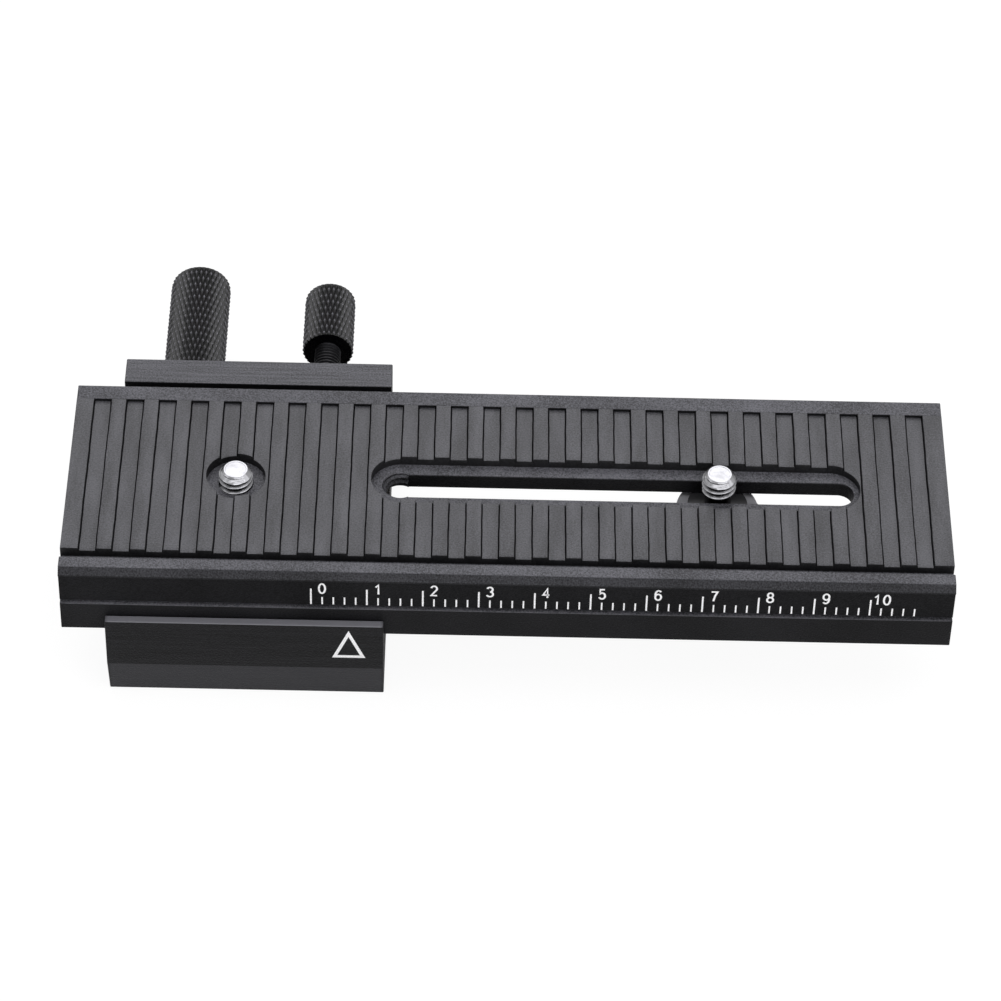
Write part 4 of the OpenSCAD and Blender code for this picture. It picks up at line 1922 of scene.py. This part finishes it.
@dataclass
class CarriageBody:
    """The carriage with its bushes and strips, the clamp jaw, and the index mark."""

    mark_x: float = 18.75
    mark_top: float = 18.83
    mark_foot: float = 11.8
    mark_half: float = 3.0
    mark_stroke: float = 0.62
    face: float = -25.7
    edge_w: float = 0.2
    jaw_edge_w: float = 0.15

    def build(self) -> None:
        """Builds and dresses the carriage's pieces."""
        eased_copy(
            "carriage_body", "carriage_eased", CARRIAGE_SKIN, Body.CARRIAGE, self.edge_w
        )
        eased_copy(
            "clamp_gib", "clamp_jaw_eased", CARRIAGE_SKIN, Body.JAW, self.jaw_edge_w
        )
        self.index_mark()
        for node, finish in (
            ("tripod_bush", STEEL),
            ("front_bush", BRASS),
            ("rear_bush", BRASS),
            ("focus_washer", NYLON),
            ("glide_strips", ACETAL),
            ("gib_pins", STEEL),
            ("gib_retainer", STEEL),
            ("gib_rivets", STEEL),
        ):
            finish_node(node, finish)

    def index_mark(self) -> None:
        """The plain index triangle: a band of ink between an outer and an inner
        triangle, carried round their three corners.
        """
        outer = np.array(
            [
                (self.mark_x - self.mark_half, self.mark_foot),
                (self.mark_x + self.mark_half, self.mark_foot),
                (self.mark_x, self.mark_top),
            ]
        )
        tall = self.mark_top - self.mark_foot
        slope = math.hypot(self.mark_half, tall)
        inner_r = self.mark_half * tall / (self.mark_half + slope)
        heart = np.array([self.mark_x, self.mark_foot + inner_r])
        inner = heart + (outer - heart) * (1 - self.mark_stroke / inner_r)
        rings = [
            np.insert(edge, 1, y, axis=1)
            for edge, y in (
                (outer, self.face - INK_PROUD),
                (inner, self.face - INK_PROUD),
                (inner, self.face + INK_SUNK),
                (outer, self.face + INK_SUNK),
            )
        ]
        loop = np.stack(rings, 1)
        shell = Shell()
        shell.grid(np.concatenate([loop, loop[:1]]), wrap=True)
        stand("index_mark", shell.mesh("index_mark"), INK, Body.CARRIAGE)


# ------------------------------------------------------------------- studio


@dataclass
class Studio:
    """The floor, the lights and the camera."""

    target: tuple[float, float, float] = (45.585, -3.994, 31.0)
    distance: float = 780.1
    elevation: float = 45.0
    azimuth: float = -0.541
    roll: float = 1.561
    lens: float = 154.99
    light_tint: tuple[float, float, float] = (0.985, 0.98, 1.0)
    floor_size: float = 8.0
    floor_drop: float = 0.05
    paper: float = 0.85
    glow: float = 1.08
    seen_glow: float = 0.85
    mirrored_glow: float = 0.1
    room_glow: float = 0.22

    def build(self) -> None:
        """Builds the studio."""
        self.floor()
        self.world()
        self.lights()
        self.camera()

    @staticmethod
    def seen(tree: bpy.types.NodeTree) -> bpy.types.NodeSocket:
        """Tells the rays that show the background: camera, glossy and transmission
        rays.

        Args:
            tree: the node tree that asks.

        Returns:
            A socket that is 1 for those rays and 0 for all others.
        """
        path = add_node(tree, "ShaderNodeLightPath")
        first = add_node(
            tree,
            "ShaderNodeMath",
            {"operation": "MAXIMUM"},
            {0: path.outputs["Is Camera Ray"], 1: path.outputs["Is Glossy Ray"]},
        )
        return add_node(
            tree,
            "ShaderNodeMath",
            {"operation": "MAXIMUM"},
            {0: first.outputs[0], 1: path.outputs["Is Transmission Ray"]},
        ).outputs[0]

    def floor(self) -> None:
        """A white paper floor. Where the camera sees it, most of its white is its own
        glow, so that the object's shadow stays light; shiny surfaces mirror more of the
        paper itself, with the shadow on it.
        """
        half, low = self.floor_size / 2, -self.floor_drop * MM
        mesh = bpy.data.meshes.new("floor")
        corners = ((-1, -1), (1, -1), (1, 1), (-1, 1))
        points = [(half * x, half * y, low) for x, y in corners]
        mesh.from_pydata(points, [], [(0, 1, 2, 3)])
        floor = bpy.data.objects.new("floor", mesh)
        bpy.context.scene.collection.objects.link(floor)
        # Uncoated white paper: an even matt white with no sheen.
        material = bpy.data.materials.new("paper_white_matt")
        material.use_nodes = True
        tree = material.node_tree
        tree.nodes.clear()
        paper = add_node(
            tree, "ShaderNodeBsdfDiffuse", {"Color": (self.paper,) * 3 + (1,)}
        )
        glow = add_node(tree, "ShaderNodeEmission", {"Strength": self.glow})
        path = add_node(tree, "ShaderNodeLightPath")
        mirrored = add_node(
            tree,
            "ShaderNodeMath",
            {"operation": "MAXIMUM"},
            {
                0: path.outputs["Is Glossy Ray"],
                1: path.outputs["Is Transmission Ray"],
            },
        )
        faint = add_node(
            tree,
            "ShaderNodeMath",
            {"operation": "MULTIPLY", 1: self.mirrored_glow},
            {0: mirrored.outputs[0]},
        )
        share = add_node(
            tree,
            "ShaderNodeMath",
            {"operation": "MULTIPLY_ADD", 1: self.seen_glow},
            {0: path.outputs["Is Camera Ray"], 2: faint.outputs[0]},
        )
        mix = add_node(
            tree,
            "ShaderNodeMixShader",
            None,
            {0: share.outputs[0], 1: paper.outputs[0], 2: glow.outputs[0]},
        )
        add_node(tree, "ShaderNodeOutputMaterial", None, {"Surface": mix.outputs[0]})
        mesh.materials.append(material)

    def world(self) -> None:
        """A dim even room that looks white where it is seen."""
        world = bpy.data.worlds.new("studio")
        bpy.context.scene.world = world
        world.use_nodes = True
        tree = world.node_tree
        tree.nodes.clear()
        room = add_node(
            tree,
            "ShaderNodeBackground",
            {"Color": (1, 1, 1, 1), "Strength": self.room_glow},
        )
        white = add_node(
            tree, "ShaderNodeBackground", {"Color": (1, 1, 1, 1), "Strength": 1.0}
        )
        mix = add_node(
            tree,
            "ShaderNodeMixShader",
            None,
            {0: self.seen(tree), 1: room.outputs[0], 2: white.outputs[0]},
        )
        add_node(tree, "ShaderNodeOutputWorld", None, {"Surface": mix.outputs[0]})

    def lights(self) -> None:
        """A soft box behind the object that its upper faces mirror, one above, one in
        front, and a small one at each side. A box's power in watts is its radiance
        times its area times pi.
        """
        heart = Vector((0.045, 0.0, 0.02))
        for name, place, size, radiance in (
            ("soft_box_behind", (0.0, 0.95, 0.95), (1.3, 1.0), 2.4),
            ("soft_box_above", (0.0, -0.2, 1.3), (1.5, 0.9), 1.6),
            ("soft_box_front", (0.5, -1.05, 0.5), (1.8, 1.0), 1.7),
            ("soft_box_left", (-1.1, -0.2, 0.6), (0.7, 0.7), 0.7),
            ("soft_box_right", (1.1, -0.2, 0.6), (0.7, 0.7), 1.0),
        ):
            light = bpy.data.lights.new(name, "AREA")
            light.shape = "RECTANGLE"
            light.size, light.size_y = size
            light.energy = radiance * size[0] * size[1] * math.pi
            light.color = self.light_tint
            lamp = bpy.data.objects.new(name, light)
            bpy.context.scene.collection.objects.link(lamp)
            lamp.location = heart + Vector(place)
            lamp.rotation_euler = Vector(place).to_track_quat("Z", "Y").to_euler()

    def camera(self) -> None:
        """The camera of the photograph: its elevation, azimuth, roll and distance."""
        up_angle, side_angle = math.radians(self.elevation), math.radians(self.azimuth)
        back = np.array(
            [
                math.sin(side_angle) * math.cos(up_angle),
                -math.cos(side_angle) * math.cos(up_angle),
                math.sin(up_angle),
            ]
        )
        right = np.cross(-back, [0, 0, 1])
        right /= np.linalg.norm(right)
        up = np.cross(right, -back)
        lean = math.radians(self.roll)
        side = right * math.cos(lean) + up * math.sin(lean)
        head = up * math.cos(lean) - right * math.sin(lean)
        place = (np.array(self.target) + self.distance * back) * MM
        data = bpy.data.cameras.new("camera")
        data.lens = self.lens
        data.sensor_width = 36.0
        data.clip_start = 0.05
        data.clip_end = 20.0
        camera = bpy.data.objects.new("camera", data)
        bpy.context.scene.collection.objects.link(camera)
        pose = np.eye(4)
        pose[:3, 0], pose[:3, 1], pose[:3, 2], pose[:3, 3] = side, head, back, place
        camera.matrix_world = Matrix(pose.tolist())
        bpy.context.scene.camera = camera
        bpy.context.scene.view_settings.view_transform = "Standard"


def main() -> None:
    """Builds every piece in order."""
    logging.basicConfig(level=logging.INFO, format="%(name)s: %(message)s")
    for part in (
        Studio(),
        RailBody(),
        CarriageBody(),
        FocusDrive(),
        LockDrive(),
        CameraScrew("left", Body.LEFT_SCREW, -2.6, 23.7),
        CameraScrew("slot", Body.SLOT_SCREW, 85.3, 25.0),
    ):
        LOG.info("building %s", type(part).__name__)
        part.build()


if __name__ == "__main__":
    main()
